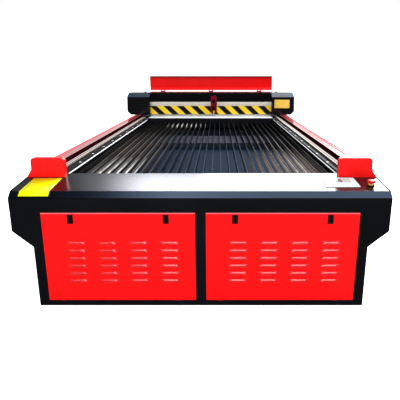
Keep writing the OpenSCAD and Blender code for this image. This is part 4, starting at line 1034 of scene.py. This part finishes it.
def latch_frames(side, mid_x, top):
    z = top - LATCH_DROP
    wide, tall = LATCH_W / 2 + FRAME_W, LATCH_H / 2 + FRAME_W
    bars = ((-wide, -wide + FRAME_W, -tall, tall), (wide - FRAME_W, wide, -tall, tall),
            (-wide, wide, -tall, -tall + FRAME_W), (-wide, wide, tall - FRAME_W, tall))
    bm = bmesh.new()
    for x in (mid_x - LATCH_X, mid_x + LATCH_X):
        for x0, x1, z0, z1 in bars:
            block(bm, (x + x0, behind(-FRAME_OUT_MM), z + z0),
                  (x + x1, behind(-FRAME_BACK_MM), z + z1), 0.8 * MM)
        for x0 in (-LATCH_W / 2 + 0.1 * MM, LATCH_W / 2 - 0.1 * MM - WALL_T):
            block(bm, (x + x0, behind(-DOOR_OUT_MM), z - LATCH_H / 2),
                  (x + x0 + WALL_T, behind(WALL_DEPTH_MM), z + LATCH_H / 2), 0.3 * MM)
    piece(bm, "latch_frames_" + side, latch_plastic, DOOR_BODY[side], smooth=40)


for side, (mid_x, bottom, top) in doors.items():
    hinge_halves(side, mid_x, bottom)
    latch_frames(side, mid_x, top)

# %% [markdown]
# ## Films
# Plain yellow films: one is wrapped over the left lip of the console, one is on the face of the
# right end cap. A film could be painted into the coat, but a real one has a thickness, if a tiny
# one, that catches the light. It is built as a thin strip that follows the fold of the sheet.

# %% Console film
FILM = 0.4 * MM
LIP_MM, DECK_RUN_MM, DECK_SKIN_MM = 28, 232, 2.1
FILM_START_MM, FILM_END_MM = 7, 190
FILM_INSET, FILM_W, FILM_LIFT = 48 * MM, 150 * MM, 0.3 * MM
deck_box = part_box("console_deck")
lip_top_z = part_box("front_panel")[1][2]
slope = math.atan2(deck_box[1][2] - (lip_top_z + LIP_MM * MM + DECK_SKIN_MM * MM),
                   DECK_RUN_MM * MM)
lip_z = lip_top_z + (LIP_MM + DECK_SKIN_MM) * MM


def deck_z(mm_behind):
    return lip_z + (mm_behind - LIP_MM) * MM * math.tan(slope)


film_path = [(FILM_START_MM, lip_top_z + (FILM_START_MM + DECK_SKIN_MM) * MM), (LIP_MM, lip_z),
             (FILM_END_MM, deck_z(FILM_END_MM))]
bm = bmesh.new()
strip = [bm.verts.new((deck_box[0][0] + FILM_INSET, behind(d), z + FILM_LIFT))
         for d, z in film_path]
for a, b in zip(strip, strip[1:]):
    bm.edges.new((a, b))
swept = bmesh.ops.extrude_edge_only(bm, edges=bm.edges[:])["geom"]
bmesh.ops.translate(bm, vec=(FILM_W, 0, 0),
                    verts=[g for g in swept if isinstance(g, bmesh.types.BMVert)])
bmesh.ops.recalc_face_normals(bm, faces=bm.faces)
if sum(f.normal.z for f in bm.faces) < 0:
    bmesh.ops.reverse_faces(bm, faces=bm.faces)
film = piece(bm, "console_film", label_film, "base", smooth=30)
give_gauge(film, FILM, 1)
print("console slopes", round(math.degrees(slope), 2), "degrees")

# %% Cap film
FILM_GAP = 0.1 * MM
CAP_FILM_LEFT, CAP_FILM_RIGHT = 34 * MM, 61 * MM
CAP_FILM_FOOT, CAP_FILM_H = 82 * MM, 104 * MM
cap_low, cap_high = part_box("end_cap_r")
film_foot_z = cap_low[2] + CAP_FILM_FOOT
bm = bmesh.new()
block(bm, (cap_low[0] + CAP_FILM_LEFT, cap_low[1] - FILM - FILM_GAP, film_foot_z),
      (cap_high[0] - CAP_FILM_RIGHT, cap_low[1] - FILM_GAP, film_foot_z + CAP_FILM_H))
piece(bm, "cap_film", golden_film, "gantry")

# %% [markdown]
# ## Hem of the lid
# The lower edge of the lid is rolled round a wire, which stiffens it between its hinges. The sheet
# could be bent round in small steps, but only the roll shows, so a round bar follows the edge and
# rides on the lid.

# %% Lid hem
HEM_R, HEM_DROP = 5 * MM, 3.5 * MM
hem_y, hem_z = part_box("lid_hinges")[1][1] - 2 * MM, lid_low[2] - HEM_DROP
bm = bmesh.new()
rod(bm, (lid_low[0], hem_y, hem_z), (lid_high[0], hem_y, hem_z), HEM_R, sides=20)
# The hem is a lighter red than the lid: a painted highlight along the roll
hem_coat = powder_coat("powder_coat_red_hem", "#FF3A40", 0.2, specular=0.5, peel=0.03)
piece(bm, "lid_hem", hem_coat, "lid", smooth=50)

# %% [markdown]
# ## Control panel
# A window, a grid of keys and a thin raised rim lie on the sloping panel. They could be built on
# the slope, with every corner turned by hand. They are built flat, round the origin, and then
# turned and moved onto the slope in one step.

# %% Panel details
PANEL_D_MM, PANEL_T = 132, 4 * MM
KEY_COLS, KEY_ROWS, KEY_PITCH_MM, KEY_HALF_MM = 3, 4, 13, 4.5
FIRST_KEY_MM = (27, -4)
panel_low, panel_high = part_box("control_panel")
panel_top_z = deck_z(PANEL_D_MM) + PANEL_T / math.cos(slope)
seat = (Matrix.Translation(((panel_low[0] + panel_high[0]) / 2, behind(PANEL_D_MM),
                            panel_top_z - 1.0 * MM)) @ Matrix.Rotation(slope, 4, "X"))


def on_panel(name, blocks_mm, edge_mm, finish, segments=2):
    bm = bmesh.new()
    for low, high in blocks_mm:
        block(bm, [c * MM for c in low], [c * MM for c in high], edge_mm * MM, segments)
    bmesh.ops.transform(bm, matrix=seat, verts=bm.verts)
    return piece(bm, name, finish, "base", smooth=35)


on_panel("panel_window_bezel", [((-20, -6, 0), (17, 40, 2.4))], 1, bezel_plastic)
on_panel("panel_window", [((-17, -3, 1.5), (14, 37, 2.8))], 0.5, screen_plastic)
keys = []
for column in range(KEY_COLS):
    for row in range(KEY_ROWS):
        x, y = FIRST_KEY_MM[0] + column * KEY_PITCH_MM, FIRST_KEY_MM[1] + row * KEY_PITCH_MM
        keys.append(((x - KEY_HALF_MM, y - KEY_HALF_MM, 0.4),
                     (x + KEY_HALF_MM, y + KEY_HALF_MM, 3.4)))
on_panel("panel_keys", keys, 1.2, key_rubber, segments=3)

# %% [markdown]
# ## Emergency stop
# Under the red mushroom sits a yellow collar, and a black moulded nut holds it down on the sheet. A
# contact block hangs under the console. Collar and nut could be stacked cylinders, but rounded
# shoulders would be missing. Each is spun from a small section about the axis of the switch, and
# all three are then laid on the slope together.

# %% Emergency stop
STOP_D_MM = 96
stop_low, stop_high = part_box("estop_button")
stop_seat = (Matrix.Translation(((stop_low[0] + stop_high[0]) / 2, behind(STOP_D_MM),
                                 deck_z(STOP_D_MM))) @ Matrix.Rotation(slope, 4, "X"))


def spun(name, section_mm, finish):
    bm = bmesh.new()
    around = [bm.verts.new((r * MM, 0, h * MM)) for r, h in section_mm]
    for a, b in zip(around, around[1:] + around[:1]):
        bm.edges.new((a, b))
    bmesh.ops.spin(bm, geom=bm.verts[:] + bm.edges[:], cent=(0, 0, 0), axis=(0, 0, 1),
                   angle=2 * math.pi, steps=40, use_merge=True)
    bmesh.ops.recalc_face_normals(bm, faces=bm.faces)
    bmesh.ops.transform(bm, matrix=stop_seat, verts=bm.verts)
    return piece(bm, name, finish, "base", smooth=35)


collar = spun("estop_collar", [(9, -20.6), (10.8, -20.6), (10.8, 0.4), (14.4, 0.4), (15, 1),
                               (15, 12), (14, 13), (9, 13)], yellow_plastic)
spun("estop_nut", [(15.2, 0.2), (18.4, 0.2), (18.4, 5), (17.6, 6), (15.2, 6)], latch_plastic)
bm = bmesh.new()
block(bm, (-15 * MM, -15 * MM, -46 * MM), (15 * MM, 15 * MM, -21 * MM), 1.5 * MM)
bmesh.ops.transform(bm, matrix=stop_seat, verts=bm.verts)
piece(bm, "estop_contact_block", latch_plastic, "base", smooth=35)
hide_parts("estop_base")

# %% [markdown]
# ## Edge trims, weld beads and the lip of the tray
# A rubber trim is pushed onto the cut edge of the front panel at both sides of each door and closes
# the gap. The ends of the console are welded and dressed, which leaves a thin dark bead. The tray
# under the front of the bed is turned up against the cross support, so that no scrap slips past.
# All of them could be drawn in the coats, but they stand proud of the sheet, so they are solid.

# %% Door trims
TRIM_W, TRIM_END = 1.6 * MM, 4 * MM
TRIM_FRONT_MM, TRIM_BACK_MM = 0.3, 12
for side, (mid_x, bottom, top) in doors.items():
    low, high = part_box("door_" + side)
    bm = bmesh.new()
    for x0 in (low[0] - 1.9 * MM, high[0] + 0.3 * MM):
        block(bm, (x0, behind(TRIM_FRONT_MM), bottom + TRIM_END),
              (x0 + TRIM_W, behind(TRIM_BACK_MM), top - TRIM_END), 0.4 * MM)
    piece(bm, "door_trims_" + side, black_rubber, "base", smooth=35)

# %% Weld beads
BEAD_R = 3.2 * MM
BEAD_START_MM, BEAD_END_MM = 30, 228
bead_top_z = lip_z + (BEAD_END_MM - BEAD_START_MM) * MM * math.tan(slope)
bm = bmesh.new()
for x in (deck_box[0][0] + BEAD_R, deck_box[1][0] - BEAD_R):
    rod(bm, (x, behind(BEAD_START_MM), lip_z), (x, behind(BEAD_END_MM), bead_top_z), BEAD_R,
        sides=16)
piece(bm, "console_weld_beads", frame_coat, "base", smooth=40)

# %% Tray lip
TRAY_SIDE, LIP_BACK, LIP_T = 4 * MM, 1 * MM, 2 * MM
LIP_FOOT, LIP_HEAD = 58 * MM, 26 * MM
support_low, support_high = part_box("cross_support")
tray_low, tray_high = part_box("chute_front")
bm = bmesh.new()
block(bm, (tray_low[0] + TRAY_SIDE, support_low[1] - LIP_BACK - LIP_T, support_high[2] - LIP_FOOT),
      (tray_high[0] - TRAY_SIDE, support_low[1] - LIP_BACK, support_high[2] - LIP_HEAD), 0.6 * MM)
# The lip takes the front tray's blue-grey, a painted reflection of the sky
piece(bm, "tray_lip", blue_grey_coat, "base", smooth=35)

# %% [markdown]
# ## Bottom pan
# A sheet is let in between the bars of the bottom ring and closes the body against dust from the
# floor. Ribs pressed across it keep it from drumming. Beads pressed into the sheet itself would
# need a finely cut mesh; half-sunk rods draw them well enough.

# %% Bottom pan
RING_BAR, PAN_DROP, PAN_T = 60 * MM, 8 * MM, 1.5 * MM
RIB_BAYS, RIB_R, RIB_END = 12, 4 * MM, 40 * MM
ring_low, ring_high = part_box("base_frame")
pan_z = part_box("equipment_shelf")[0][2] - PAN_DROP
pan_x = ring_high[0] - RING_BAR
pan_y0, pan_y1 = ring_low[1] + RING_BAR, ring_high[1] - RING_BAR
bm = bmesh.new()
block(bm, (-pan_x, pan_y0, pan_z), (pan_x, pan_y1, pan_z + PAN_T), 0.3 * MM)
for i in range(1, RIB_BAYS):
    y = pan_y0 + (pan_y1 - pan_y0) * i / RIB_BAYS
    rod(bm, (-pan_x + RIB_END, y, pan_z), (pan_x - RIB_END, y, pan_z), RIB_R, sides=16)
piece(bm, "bottom_pan", frame_coat, "base", smooth=35)
